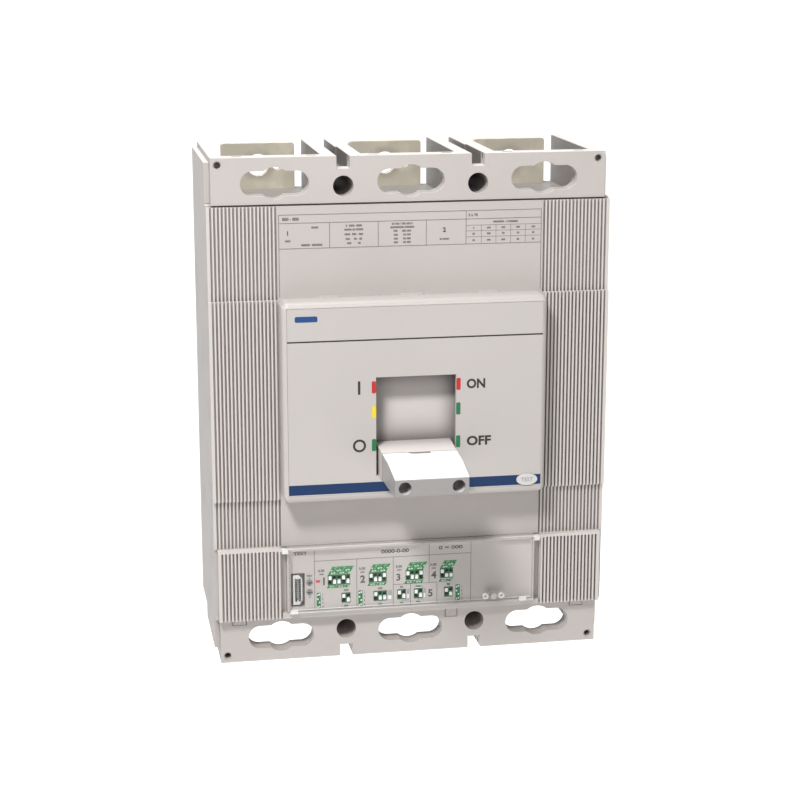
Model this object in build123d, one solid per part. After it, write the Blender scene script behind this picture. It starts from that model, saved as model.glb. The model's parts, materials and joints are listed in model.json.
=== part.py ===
"""Three-pole moulded case circuit breaker with an electronic trip unit.

Frame: origin at the centre of the back mounting face, X to the right seen from the front,
Y into the mounting plate (the front faces -Y), Z up.  Millimetres.
Heights called *_h are measured up from the bottom edge of the case.
"""
from build123d import *
import os
from math import atan2, cos, degrees, hypot, radians, sin

os.makedirs("parts", exist_ok=True)

# ---------------------------------------------------------------- driving dimensions
case_width = 210.0            # across the side skins
case_height = 268.0
terminal_face_depth = 88.0    # back face to the front of the terminal zones
pole_count = 3
pole_pitch = case_width / pole_count
seam_depth = 29.5             # back face to the joint between base and main cover
running_gap = 0.05            # radial clearance of a pin in its hole
moving_gap = 0.4              # clearance between parts that pass each other
fitted_gap = 0.1              # clearance of a part seated in another

# walls
skin_thickness = 2.6          # proud outer skins on both sides
side_wall = 6.4
back_wall = 3.0
back_relief = 1.0             # shallow panels moulded in the back face
back_panel_inset = 42.0
back_panel_width = 46.0
front_wall = 3.5
partition = 8.0
floor_wall = 4.0
terminal_front_wall = 10.0
bay_depth = 26.0              # terminal bay, measured in from the case end
skin_top_gap = 3.0
skin_setback = 8.0            # side skins stop this far behind the terminal face
base_skin_bottom = 13.5
cover_skin_bottom = 6.0
barrier_slot = 6.9            # slot for the insulating barrier between poles
barrier_wall = 6.9
barrier_front_depth = 6.4
barrier_inner_depth = 9.0
barrier_rear_depth = 42.0     # behind this the slot is narrower on one side
barrier_rear_step = 1.2

# holes in the case
well_radius = 5.3             # deep well of each mounting hole
mounting_hole_radius = 3.0
mounting_hole_inset = 15.2    # from the case end to the hole
well_floor = 8.0
corner_hole_radius = 1.7
corner_hole_inset = 3.7
corner_hole_depth = 6.0
corner_mouth = (2.2, 0.5)     # radius and depth of the wider mouth
keyhole_inset = 13.2
keyhole_back_depth = 50.0     # well inside the open bay behind the wall
keyhole_length = 35.0
keyhole_height = 12.6
keyhole_centre_radius = 8.3
latch_pocket = (5.2, 2.6, 3.0)
latch_pocket_x = (-18.5, 19.5)  # either side of each pole's middle
latch_pocket_setback = 5.0

# front relief
panel_step = 1.0              # how far the front panel stands out from the terminal zones
panel_depth = terminal_face_depth + panel_step
rib_step = 2.0                # how far the middle ribbed band stands out
middle_ribs_h = (89.4, 195.3)
trim_h = (24.2, 63.4)         # lower cover
top_ribs_inset = 23.8         # case end to the top of the upper ribs
seam_groove = (0.9, 1.6)      # height and depth of the groove above the panel
unit_width = 133.8            # trip unit, which sets the widths around it
rib_field_x = unit_width / 2 + 3.1
rib_pitch = 1.93
groove_width = 1.0
groove_root = 0.5
groove_depth = 1.6
trim_top_band = 1.6           # plain strip above the lower cover's grooves
tongue_gap = 0.35             # seen as a line about each latch tongue
band_end_groove = 0.2         # the rib grooves run this far past their band

# escutcheon
nose_width = unit_width + 4.6
nose_h = (90.8, 196.0)
nose_rise = 14.5              # in front of the panel
nose_depth = panel_depth + nose_rise
nose_wall = 3.0
nose_round = 3.2
label_width = nose_width - 5.0
label_h = (94.4, 193.0)
label_recess = 0.3
clip_x = (-43.0, 0.0, 40.0)
clip_size = (11.0, 2.2, 0.9)  # width, thickness, rise above the escutcheon
cover_opening_h = (92.0, 180.0)

# operating handle
handle_width = 40.0
handle_nose_width = handle_width - 2.2
window_width = handle_width + 2.0
window_h = (103.8, 156.1)
cover_opening_width = window_width + 12.0
pivot_depth = 30.0
pivot_h = 130.0
pivot_radius = 2.5
throw_angle = 24.0            # OFF to ON
seam_reach = nose_depth + 9.0
handle_reach = nose_depth + 43.5
grip_reach = nose_depth - 16.5  # where the grip starts, inside the shutter's outer face
crown = ((grip_reach, 120.0), (seam_reach, 118.0), (handle_reach - 17.9, 117.0), (handle_reach, 113.6))
shutter_radius = nose_depth - 9.5 - pivot_depth
shutter_thickness = 1.5
shutter_span = 37.0
shutter_sweep = 60.0          # clearance cut behind the grip, to each side of straight out
shutter_width = window_width + 6.0
neck_width = 20.0
neck_height = 10.0
neck_drop = 5.0
neck_end = 1.5                # the neck ends this far in front of the shutter
yoke_reach = shutter_radius - 20.0
yoke_plate = 4.0
yoke_leg_x = 22.0
yoke_leg_thickness = 3.0
yoke_leg_height = 14.0
tenon_width = 18.0            # tongue of the grip inside the cap
tenon_height = 4.8
tenon_h = 110.2
tenon_root = 3.0
tenon_end = handle_reach - 14.0
tab_notch = (-6.5, 5.5, 2.5, 2.6)  # notch in the cap's upper rear edge: sides, slope, depth
notch_floor_h = 116.6
cap_round = 0.8
cap_seam = (0.45, 0.8)        # width and depth of the shadow groove between grip and cap
handle_hole_radius = 3.25
handle_hole_x = 13.7
handle_hole_h = 108.8
handle_hole_depth = 9.0

# push to trip
test_x = 59.2
test_h = 98.0
test_oval = (11.2, 6.2)
test_stem_radius = 1.5
test_flange = (6.6, 1.2, 3.6)  # half width, thickness, half height
test_proud = 0.6
stem_reach = panel_depth - 4.4
button_rest_gap = 0.4

# trip unit, lower cover and lid
unit_h = (27.3, 63.2)
unit_face_depth = panel_depth + 2.0
unit_back_depth = unit_face_depth - 27.0
unit_wall = 2.0
board_thickness = 1.6
board_gap = 0.6
board_margin = 4.0
trim_depth = terminal_face_depth + 4.3
trim_half_width = case_width / 2 - 1.8
trim_floor_h = 26.9
tongues = ((-92.2, 6.9, 20.8), (91.7, 6.9, 20.8), (22.2, 6.0, 18.6))  # X, width, lowest height
tongue_proud = 0.3
tongue_thickness = 2.3
lid_depth = unit_face_depth + 3.2
lid_thickness = 1.2
lid_half_width = unit_width / 2 - 0.6
lid_h = (27.5, 62.9)
lid_axis_depth = unit_face_depth
lid_axis_h = 61.9
lid_rebate = 1.5              # room behind the hinge line for the lid's top edge
lid_lug = (2.6, 1.3, 1.0, 1.1)  # front, below, above and behind the hinge line
lid_clip = (4.0, 1.0, 2.2)
lid_clip_x = (0.6, 4.2)       # from the left and right edges
seal_eye = (1.7, 0.8, 4.4, 1.2)  # outer and inner radius, distance from the post, height
lid_pin_radius = 1.0
lid_pin_length = 2.4
socket_x = (-65.0, -57.5)
socket_h = (29.9, 48.7)
socket_depth = 5.0
plug_size = (4.9, 16.4)
plug_corner = (1.6, 2.4)
plug_slot = (1.8, 2.4, 2.2)   # width, depth, distance from the ends
jack_x = -55.0
jack_h = (43.2, 37.9)
jack_radius = 1.7
jack_proud = 0.3
jack_cross = (2.6, 0.5, 1.0)  # length, width and depth of the slots
seal_post_x = 44.0
seal_post_h = 31.2
seal_post_radius = 1.7
seal_post_reach = unit_face_depth + 5.4
lens_x = -50.5
lens_h = 43.6
lens_size = (2.3, 1.3)

# miniature switches: name, centre x, centre height, which sliders are up
banks = (
    ("overload", -39.25, 44.0, "UDDUD"),
    ("short", -18.4, 44.05, "UDDU"),
    ("instant", 1.5, 44.2, "UDDU"),
    ("ground", 19.0, 44.3, "UDD"),
    ("overload_time", -35.55, 33.65, "UD"),
    ("short_time", -17.1, 33.6, "UDD"),
    ("memory", -5.5, 33.75, "UD"),
    ("neutral", 3.6, 33.7, "UD"),
    ("ground_time", 20.1, 33.65, "UD"),
)
slider_pitch = 2.4
slider_width = 1.6
slider_height = 2.0
slider_travel = 2.2
slot_floor = 2.6
bank_height = 5.7
bank_body_depth = 5.0
slider_proud = 0.5

# current path
bar_width = pole_pitch - 30.0
bar_thickness = 5.0
bar_end_gap = 1.0             # case end to bar end
bar_corner = 1.5
bar_hole_inset = 12.9
bar_hole_radius = 6.0
small_hole_radius = 2.8
small_hole_x = 10.5
fixed_contact_h = 153.0
contact_pad = (9.0, 3.0, 9.0)
bar_jog = 15.0
upper_bar_h = 142.0
lower_bar_h = 78.0
jog_h = 38.5
transformer_width = bar_width + 12.0
transformer_height = 22.0
transformer_thickness = 20.0
transformer_h = 45.5

# shaft with the moving contacts
shaft_radius = 9.0
shaft_length = case_width - 26.0
shaft_h = 94.0
open_angle = 32.4
arm_width = 10.0
arm_thickness = 6.0
arm_heel = 12.0
arm_reach = 64.0
contact_gap = 0.4
contact_spring_rise = 13.0    # above the shaft's axis
contact_spring_length = 6.0
carrier = (16.0, 17.0, 8.5)   # width, height above the axis, front of the arm
shunt_width = 24.0
shunt_thickness = 3.0
shunt_drop = 6.0
shunt_rise = 2.2
shunt_reach = 8.0

# toggle linkage
crank_radius = 16.0
anchor_depth = 58.0
anchor_h = 114.0
upper_link_length = 14.0
lower_link_length = 25.0
link_thickness = 2.0
upper_link_x = 12.0
lower_link_x = 14.4
link_width = 8.0
pin_radius = 2.0
knee_clearance = 1.3
knee_rim = 2.0                # wall about the knee hole
pin_end = 0.5                 # pins stand out this far
frame_x = 17.0
frame_thickness = 2.5
frame_back = back_wall + 9.0
frame_front = 66.0
frame_throat = 50.0
frame_rises = (-12.0, 6.0, 22.0, 30.0)  # of its corners, from the shaft's axis
frame_crown = (10.0, 28.0)    # front and rear tops, from the handle's pivot
crank_thickness = 3.0
crank_width = 10.0
crank_plate_x = 8.0
spring_x = 8.7
spring_radius = 2.7
spring_end_gaps = (0.8, 1.0)  # free space at the yoke and at the knee
wire_radius = 0.6

# trip bar and latch
trip_bar_depth = 64.0
trip_bar_h = 80.0
trip_bar_radius = 3.0
latch_depth = 54.0
latch_h = 96.0
latch_length = 14.0
latch_width = 9.0
latch_thickness = 9.0
finger_width = 6.0
finger_heights = (4.0, 16.0, 20.0)  # lever root, latch finger, stem finger

# arc chutes
chute_width = 44.0
chute_side = 2.0
chute_h = (162.0, 224.0)
chute_depth = (11.0, 60.0)
plate_count = 9
plate_thickness = 1.5
plate_notch = (12.0, 24.0)
chute_edge = 4.0

# cover screws
screw_radius = 2.0
screw_head_radius = 3.6
screw_end_depth = 25.0
screw_head = 2.6
screw_sink = 4.0              # seat below the panel
screw_slot = (6.0, 0.8, 1.0)
pilot_floor = 4.0
screw_h = (118.0, 186.0)

# ---------------------------------------------------------------- worked-out places
bottom = -case_height / 2
top = case_height / 2
skin_x = case_width / 2
core_x = skin_x - skin_thickness
inner_x = core_x - side_wall
pole_x = (-pole_pitch, 0.0, pole_pitch)
pivot_z = bottom + pivot_h
off_tilt = -throw_angle / 2
pivot_yz = (-pivot_depth, pivot_z)
shaft_yz = (-seam_depth, bottom + shaft_h)
anchor_yz = (-anchor_depth, bottom + anchor_h)
trip_bar_yz = (-trip_bar_depth, bottom + trip_bar_h)
lid_axis_yz = (-lid_axis_depth, bottom + lid_axis_h)
latch_yz = (-latch_depth, bottom + latch_h)
front_yz = Plane(origin=(0, 0, 0), x_dir=(1, 0, 0), z_dir=(0, -1, 0))
side_yz = Plane(origin=(0, 0, 0), x_dir=(0, 1, 0), z_dir=(1, 0, 0))


# ---------------------------------------------------------------- helpers
def block(x0, x1, y0, y1, z0, z1):
    """Box between two corners."""
    middle = ((x0 + x1) / 2, (y0 + y1) / 2, (z0 + z1) / 2)
    return Pos(*middle) * Box(abs(x1 - x0), abs(y1 - y0), abs(z1 - z0))


def rod_x(radius, x0, x1, yz):
    """Round rod along X through the point yz."""
    return Pos((x0 + x1) / 2, yz[0], yz[1]) * Rot(0, 90, 0) * Cylinder(radius, abs(x1 - x0))


def rod_y(radius, x, z, y0, y1):
    """Round rod along Y."""
    return Pos(x, (y0 + y1) / 2, z) * Rot(90, 0, 0) * Cylinder(radius, abs(y1 - y0))


def side_prism(outline, x0, x1):
    """Prism along X with an outline of (y, z) points."""
    face = make_face(Polyline(*outline, close=True))
    return Pos(x0, 0, 0) * extrude(side_yz * face, x1 - x0)


def front_prism(sketch, y0, y1):
    """Prism along Y with an XZ sketch, from depth y0 towards the front at y1."""
    return Pos(0, y0, 0) * extrude(front_yz * sketch, y0 - y1)


def both_sides(shape):
    """A shape and its mirror image in the middle plane."""
    return shape + mirror(shape, about=Plane.YZ)


def turned(shape, yz, angle):
    """Turn a shape about the X axis through yz; a positive angle lifts its front."""
    return Pos(0, *yz) * Rot(-angle, 0, 0) * Pos(0, -yz[0], -yz[1]) * shape


def turned_point(point, yz, angle):
    """The same turn for a (y, z) point."""
    dy = point[0] - yz[0]
    dz = point[1] - yz[1]
    c = cos(radians(angle))
    s = sin(radians(angle))
    return (yz[0] + dy * c + dz * s, yz[1] - dy * s + dz * c)


def bar_between(start, end, width, x0, x1):
    """Flat link with round ends between two (y, z) points."""
    length = hypot(end[0] - start[0], end[1] - start[1])
    slope = degrees(atan2(end[1] - start[1], end[0] - start[0]))
    middle = ((start[0] + end[0]) / 2, (start[1] + end[1]) / 2)
    outline = Pos(*middle) * Rot(0, 0, slope) * SlotCenterToCenter(length, width)
    return Pos(x0, 0, 0) * extrude(side_yz * outline, x1 - x0)


def write(name, shape):
    export_step(shape, "parts/" + name + ".step")


def end_z(inset, upper):
    """Height of a point a given distance in from the upper or lower case end."""
    return top - inset if upper else bottom + inset


# ---------------------------------------------------------------- case
def bay_range(pole, wall):
    """Inner X limits of a pole, with a given half thickness of the wall between poles."""
    x0 = -inner_x if pole < 0 else pole - pole_pitch / 2 + wall
    x1 = inner_x if pole > 0 else pole + pole_pitch / 2 - wall
    return x0, x1


def pole_walls():
    return barrier_slot / 2 + barrier_wall


def terminal_bays(y0, y1):
    """The six open terminal bays at the two ends of the case."""
    bays = []
    for pole in pole_x:
        x0, x1 = bay_range(pole, pole_walls())
        for upper in (True, False):
            z_end = end_z(-1, upper)
            bays.append(block(x0, x1, y0, y1, end_z(bay_depth, upper), z_end))
    return bays


def chambers(y0, y1):
    """The three inner chambers."""
    z0 = bottom + bay_depth + floor_wall
    z1 = top - bay_depth - floor_wall
    return [block(*bay_range(pole, partition / 2), y0, y1, z0, z1) for pole in pole_x]


def barrier_slots():
    """Slots for the barriers between the poles, deeper behind the front wall."""
    slots = []
    wall_back = -(terminal_face_depth - terminal_front_wall)
    for x in (-pole_pitch / 2, pole_pitch / 2):
        for upper in (True, False):
            z_end = end_z(-1, upper)
            x0 = x - barrier_slot / 2
            x1 = x + barrier_slot / 2
            rear = x1 - barrier_rear_step
            slots.append(block(x0, rear, 1, -panel_depth, end_z(barrier_front_depth, upper), z_end))
            slots.append(block(x0, rear, -well_floor, wall_back, end_z(barrier_inner_depth, upper), z_end))
            wide = -barrier_rear_depth
            slots.append(block(x0, x1, wide, -panel_depth, end_z(barrier_front_depth, upper), z_end))
            slots.append(block(x0, x1, wide, wall_back, end_z(barrier_inner_depth, upper), z_end))
    return slots


def mounting_holes():
    """Wells from the front with a smaller hole through the back."""
    holes = []
    for x in (-pole_pitch / 2, pole_pitch / 2):
        for upper in (True, False):
            z = end_z(mounting_hole_inset, upper)
            holes.append(rod_y(well_radius, x, z, -well_floor, -panel_depth - 1))
            holes.append(rod_y(mounting_hole_radius, x, z, 1, -well_floor - 1))
    return holes


def bar_slots():
    """Slots in the bay floors where the terminal bars pass."""
    half = bar_width / 2 + fitted_gap
    front = -(back_wall + bar_thickness + fitted_gap)
    slots = []
    for pole in pole_x:
        for upper in (True, False):
            z_in = end_z(bay_depth + floor_wall + 1, upper)
            z_out = end_z(bay_depth - 1, upper)
            slots.append(block(pole - half, pole + half, -back_wall, front, z_in, z_out))
    return slots


def case_blank(y0, y1, skin_gap):
    """Solid core with the proud side skins."""
    skins = block(core_x - 1, skin_x, y0, y1, bottom + skin_gap, top - skin_top_gap)
    return block(-core_x, core_x, y0, y1, bottom, top) + both_sides(skins)


def shaft_seats():
    """Round seats for the contact shaft, shared by base and cover."""
    return rod_x(shaft_radius + running_gap, -shaft_length / 2 - 1, shaft_length / 2 + 1, shaft_yz)


def screw_places():
    """Cover screws stand in the partitions."""
    return [(x, bottom + h) for x in (-pole_pitch / 2, pole_pitch / 2) for h in screw_h]


def base_case():
    y1 = -seam_depth
    shape = case_blank(0, y1, base_skin_bottom)
    shape -= terminal_bays(1, y1)
    shape -= chambers(-back_wall, y1)
    shape -= bar_slots()
    shape -= barrier_slots() + mounting_holes()
    shape -= shaft_seats()
    for pole in pole_x:
        half = back_panel_width / 2
        shape -= block(pole - half, pole + half, 1, -back_relief, bottom + back_panel_inset,
                       top - back_panel_inset)
    pilots = [rod_y(screw_radius, x, z, -back_wall - pilot_floor, y1 - 1) for x, z in screw_places()]
    return shape - pilots


def rib_grooves(front, z0, z1, outer):
    """Tapered grooves between the ribs of one band, both sides."""
    count = int((outer - rib_field_x) / rib_pitch + 0.01)
    grooves = []
    for i in range(count):
        x = rib_field_x + i * rib_pitch
        mouth = groove_width / 2
        root = groove_root / 2
        points = ((x - mouth, -front - 0.01), (x + mouth, -front - 0.01),
                  (x + root, -front + groove_depth), (x - root, -front + groove_depth))
        face = make_face(Polyline(*points, close=True))
        grooves.append(Pos(0, 0, z0) * extrude(face, z1 - z0))
    return grooves + [mirror(g, about=Plane.YZ) for g in grooves]


def keyholes():
    """Screwdriver openings in the terminal front walls."""
    holes = []
    for pole in pole_x:
        for upper in (True, False):
            place = Pos(pole, end_z(keyhole_inset, upper))
            sketch = place * SlotOverall(keyhole_length, keyhole_height)
            sketch += place * Circle(keyhole_centre_radius)
            holes.append(front_prism(sketch, -keyhole_back_depth, -panel_depth - 1))
    return holes


def latch_pockets():
    """Small pockets for a terminal cover's latches in the end faces."""
    width, depth, deep = latch_pocket
    y0 = -(terminal_face_depth - latch_pocket_setback)
    pockets = []
    for pole in pole_x:
        for x in (pole + offset for offset in latch_pocket_x):
            for upper in (True, False):
                z_end = end_z(-1, upper)
                pockets.append(block(x - width / 2, x + width / 2, y0, y0 + depth, end_z(deep, upper), z_end))
    return pockets


def trim_tabs(gap):
    """Latch tongues of the lower cover, grown by a gap for their pockets."""
    front = -terminal_face_depth - tongue_proud
    tabs = []
    for x, width, low in tongues:
        half = width / 2 + gap
        tabs.append(block(x - half, x + half, front + tongue_thickness + gap, front - gap,
                          bottom + low - gap, bottom + trim_h[0] + 1))
    return tabs


def corner_holes():
    x = core_x - corner_hole_inset
    holes = []
    for side in (-x, x):
        for upper in (True, False):
            z = end_z(corner_hole_inset, upper)
            start = -terminal_face_depth + corner_hole_depth
            holes.append(rod_y(corner_hole_radius, side, z, start, -terminal_face_depth - 1))
            mouth_radius, mouth_depth = corner_mouth
            mouth = -terminal_face_depth + mouth_depth
            holes.append(rod_y(mouth_radius, side, z, mouth, -terminal_face_depth - 1))
    return holes


def cover_relief():
    """Raised panel, ribbed bands and the grooves between the ribs."""
    panel_top = top - top_ribs_inset - seam_groove[0]
    shape = block(-skin_x, skin_x, -seam_depth - 20, -panel_depth, bottom + trim_h[1], panel_top)
    z0 = bottom + middle_ribs_h[0]
    z1 = bottom + middle_ribs_h[1]
    band_front = panel_depth + rib_step
    shape += both_sides(block(rib_field_x, skin_x, -panel_depth + 1, -band_front, z0, z1))
    shape -= rib_grooves(panel_depth, bottom + trim_h[1] - 1, z0, skin_x)
    shape -= rib_grooves(band_front, z0 - band_end_groove, z1 + band_end_groove, skin_x)
    shape -= rib_grooves(panel_depth, z1, panel_top + 1, skin_x)
    return shape


def skin_steps():
    """Strips taken off the side skins beside both terminal zones."""
    y0 = -terminal_face_depth + skin_setback
    y1 = -panel_depth - 1
    upper = block(core_x, skin_x + 1, y0, y1, top - top_ribs_inset, top + 1)
    lower = block(core_x, skin_x + 1, y0, y1, bottom - 1, bottom + trim_h[0])
    return both_sides(upper) + both_sides(lower)


def seam_line():
    """Groove across the front between the panel and the upper terminal zone."""
    height, depth = seam_groove
    z = top - top_ribs_inset
    return block(-case_width, case_width, -terminal_face_depth + depth, -panel_depth - 1, z - height, z)


def main_cover():
    y0 = -seam_depth
    inside = -(panel_depth - front_wall)
    wall_back = -(terminal_face_depth - terminal_front_wall)
    shape = case_blank(y0, -terminal_face_depth, cover_skin_bottom)
    shape += cover_relief()
    shape -= seam_line()
    shape -= skin_steps()
    shape -= terminal_bays(y0 + 1, wall_back)
    shape -= chambers(y0 + 1, inside)
    shape -= barrier_slots() + mounting_holes() + keyholes() + latch_pockets() + corner_holes()
    half = cover_opening_width / 2
    low, high = cover_opening_h
    shape -= block(-half, half, y0, -panel_depth - 5, bottom + low, bottom + high)
    half = unit_width / 2 + fitted_gap
    shape -= block(-half, half, -unit_back_depth, -panel_depth - 5, bottom + unit_h[0] - fitted_gap,
                   bottom + unit_h[1] + fitted_gap)
    shape -= trim_tabs(tongue_gap)
    shape -= shaft_seats()
    start = -pole_pitch / 2 - partition
    shape -= rod_x(trip_bar_radius + running_gap, start, trip_bar_end() + 1, trip_bar_yz)
    shape -= rod_y(test_stem_radius + running_gap, test_x, bottom + test_h, inside + 1, -panel_depth - 1)
    for x, z in screw_places():
        shape -= rod_y(screw_radius + fitted_gap, x, z, y0 + 1, -panel_depth - 1)
        shape -= rod_y(screw_head_radius + fitted_gap, x, z, screw_seat(), -panel_depth - rib_step - 1)
    return shape


def screw_seat():
    """Depth of the seat under the cover screw heads."""
    return -(panel_depth - screw_sink)


def cover_screws():
    """Four screws that hold the main cover to the base."""
    screws = []
    for x, z in screw_places():
        seat = screw_seat()
        shank = rod_y(screw_radius - fitted_gap, x, z, -screw_end_depth, seat)
        head = rod_y(screw_head_radius, x, z, seat, seat - screw_head)
        length, height, depth = screw_slot
        slot = block(x - length / 2, x + length / 2, seat - screw_head + depth, seat - screw_head - 1,
                     z - height / 2, z + height / 2)
        screws.append(shank + head - slot)
    return Compound(children=screws)


def lower_cover():
    """U-shaped front trim around the trip unit."""
    y0 = -terminal_face_depth
    z0 = bottom + trim_h[0]
    z1 = bottom + trim_h[1]
    shape = block(-trim_half_width, trim_half_width, y0, -trim_depth, z0, z1)
    inner = rib_field_x
    shape -= block(-inner, inner, y0 + 1, -trim_depth - 1, bottom + trim_floor_h, z1 + 1)
    shape -= rib_grooves(trim_depth, z0 - 1, z1 - trim_top_band, trim_half_width)
    shape += trim_tabs(0)
    sockets = rod_x(lid_pin_radius + running_gap, inner - 1, inner + lid_pin_length + moving_gap, lid_axis_yz)
    return shape - both_sides(sockets)


# ---------------------------------------------------------------- escutcheon
def front_bezel():
    """Raised escutcheon with the handle window, clipped over the cover."""
    half = nose_width / 2
    z0 = bottom + nose_h[0]
    z1 = bottom + nose_h[1]
    shape = block(-half, half, -panel_depth, -nose_depth, z0, z1)
    front_edges = shape.faces().sort_by(Axis.Y)[0].edges()
    corner_edges = shape.edges().filter_by(Axis.Y)
    shape = fillet(front_edges + corner_edges, nose_round)
    w = nose_wall
    shape -= block(-half + w, half - w, -panel_depth + 1, -nose_depth + w, z0 + w, z1 - w)
    x = window_width / 2
    shape -= block(-x, x, -panel_depth, -nose_depth - 1, bottom + window_h[0], bottom + window_h[1])
    x = label_width / 2
    shape -= block(-x, x, -nose_depth + label_recess, -nose_depth - 1, bottom + label_h[0],
                   bottom + label_h[1])
    width, thickness, rise = clip_size
    for clip in clip_x:
        shape += block(clip - width / 2, clip + width / 2, -panel_depth, -panel_depth - thickness,
                       z1 - 1, z1 + rise)
    wide, tall = test_oval
    hole = Pos(test_x, bottom + test_h) * Ellipse(wide / 2 + running_gap, tall / 2 + running_gap)
    return shape - front_prism(hole, -panel_depth, -nose_depth - 1)


def test_button():
    """Oval push-to-trip button with a retaining flange and a stem through the cover."""
    z = bottom + test_h
    head = Pos(test_x, z) * Ellipse(test_oval[0] / 2, test_oval[1] / 2)
    inner = -(nose_depth - nose_wall) + button_rest_gap
    half, thickness, tall = test_flange
    shape = front_prism(head, inner, -nose_depth - test_proud)
    shape += block(test_x - half, test_x + half, inner + thickness, inner, z - tall, z + tall)
    return shape + rod_y(test_stem_radius, test_x, z, -stem_reach, inner)


def button_spring():
    """Space taken by the coil spring that returns the button."""
    z = bottom + test_h
    y0 = -panel_depth
    y1 = -(nose_depth - nose_wall) + button_rest_gap + test_flange[1]
    tube = rod_y(spring_radius + wire_radius, test_x, z, y0, y1)
    return tube - rod_y(spring_radius - wire_radius, test_x, z, y0 + 1, y1 - 1)


# ---------------------------------------------------------------- operating handle
def lever_outline(reach_in, reach_out):
    """Side outline of the handle between two reaches, drawn in the OFF position."""
    underside = bottom + window_h[0] + moving_gap
    points = [(-reach_out, underside), (-reach_in, underside)]
    points += [(-y, bottom + h) for y, h in crown if reach_in <= y <= reach_out]
    return points


def handle_taper(shape):
    """Trim the handle's sides so that it narrows towards the front."""
    inner = handle_width / 2
    nose = handle_nose_width / 2
    outline = ((-inner, -grip_reach), (inner, -grip_reach), (nose, -handle_reach), (-nose, -handle_reach))
    wedge = extrude(make_face(Polyline(*outline, close=True)), case_height, both=True)
    return shape & wedge


def shutter_ring(inner, outer, x0, x1, first, last):
    """Curved band about the handle pivot, between two angles from straight out."""
    steps = 16
    angles = [first + (last - first) * i / steps for i in range(steps + 1)]
    y, z = pivot_yz
    outer_points = [(y - outer * cos(radians(a)), z + outer * sin(radians(a))) for a in angles]
    inner_points = [(y - inner * cos(radians(a)), z + inner * sin(radians(a))) for a in angles]
    middle_out = outer_points[steps // 2]
    middle_in = inner_points[steps // 2]
    edges = [ThreePointArc(outer_points[0], middle_out, outer_points[-1]),
             Line(outer_points[-1], inner_points[-1]),
             ThreePointArc(inner_points[-1], middle_in, inner_points[0]),
             Line(inner_points[0], outer_points[0])]
    return Pos(x0, 0, 0) * extrude(side_yz * make_face(Wire(edges)), x1 - x0)


def neck(grow):
    """Neck of the lever that passes through the shutter, drawn straight out."""
    half = neck_width / 2 + grow
    tall = neck_height / 2 + grow
    return block(-half, half, pivot_yz[0] - yoke_reach, pivot_yz[0] - shutter_radius - neck_end,
                 pivot_z - neck_drop - tall, pivot_z - neck_drop + tall)


def tenon(grow, root):
    """Flat tongue of the grip that carries the cap, grown by a gap for its pocket."""
    half = tenon_width / 2 + grow
    tall = tenon_height / 2 + grow
    z = bottom + tenon_h
    return block(-half, half, -seam_reach + root, -tenon_end - grow, z - tall, z + tall)


def toggle_lever():
    """Grey inner part of the handle with its yoke on two pivot pins."""
    grip = side_prism(lever_outline(grip_reach, seam_reach), -handle_width / 2, handle_width / 2)
    grip = handle_taper(grip)
    clear = shutter_ring(shutter_radius / 2, shutter_radius + fitted_gap, -handle_width, handle_width,
                         -shutter_sweep, shutter_sweep)
    grip -= turned(clear, pivot_yz, off_tilt)
    end_face = grip.faces().sort_by(Axis.Y)[0]
    width, depth = cap_seam
    grip -= extrude(end_face, -width) - extrude(offset(end_face, -depth), -width)
    grip += tenon(0, tenon_root)
    half = yoke_leg_height / 2
    reach = yoke_reach + yoke_plate
    arm = block(yoke_leg_x, yoke_leg_x + yoke_leg_thickness, pivot_yz[0], pivot_yz[0] - reach,
                pivot_z - half, pivot_z + half)
    arm += rod_x(half, yoke_leg_x, yoke_leg_x + yoke_leg_thickness, pivot_yz)
    arm -= rod_x(pivot_radius + running_gap, yoke_leg_x - 1, yoke_leg_x + yoke_leg_thickness + 1, pivot_yz)
    yoke = both_sides(arm)
    edge = yoke_leg_x + yoke_leg_thickness
    yoke += block(-edge, edge, pivot_yz[0] - yoke_reach, pivot_yz[0] - reach, pivot_z - half, pivot_z + half)
    yoke += neck(0)
    return grip + turned(yoke, pivot_yz, off_tilt)


def toggle_shutter():
    """Curved dust shutter that follows the handle behind the window."""
    half = shutter_width / 2
    ring = shutter_ring(shutter_radius - shutter_thickness, shutter_radius, -half, half,
                        -shutter_span, shutter_span)
    return turned(ring - neck(fitted_gap), pivot_yz, off_tilt)


def toggle_cap():
    """White finger cap on the end of the lever."""
    cap = side_prism(lever_outline(seam_reach, handle_reach), -handle_width / 2, handle_width / 2)
    cap = handle_taper(cap)
    left, right, slope, depth = tab_notch
    foot = -seam_reach - depth
    notch = ((left, -seam_reach), (right, -seam_reach), (right, foot), (left + slope, foot))
    cap -= Pos(0, 0, bottom + notch_floor_h) * extrude(make_face(Polyline(*notch, close=True)), tenon_height)
    cap -= tenon(fitted_gap, 1)
    rim = cap.edges().filter_by(Axis.X).sort_by(Axis.Y)[:2]
    cap = fillet(rim, cap_round)
    for x in (-handle_hole_x, handle_hole_x):
        cap -= rod_y(handle_hole_radius, x, bottom + handle_hole_h, -handle_reach + handle_hole_depth,
                     -handle_reach - 1)
    return cap


# ---------------------------------------------------------------- mechanism
def open_turn(shape):
    """Turn a shape on the contact shaft from closed to open."""
    return turned(shape, shaft_yz, -open_angle)


def crank_point():
    closed = (shaft_yz[0], shaft_yz[1] + crank_radius)
    return turned_point(closed, shaft_yz, -open_angle)


def knee_point():
    """Where the two links meet with the contacts open."""
    dy = crank_point()[0] - anchor_yz[0]
    dz = crank_point()[1] - anchor_yz[1]
    span = hypot(dy, dz)
    along = (upper_link_length ** 2 - lower_link_length ** 2 + span ** 2) / (2 * span)
    across = (upper_link_length ** 2 - along ** 2) ** 0.5
    y = anchor_yz[0] + (dy * along - dz * across) / span
    z = anchor_yz[1] + (dz * along + dy * across) / span
    return y, z


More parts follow.
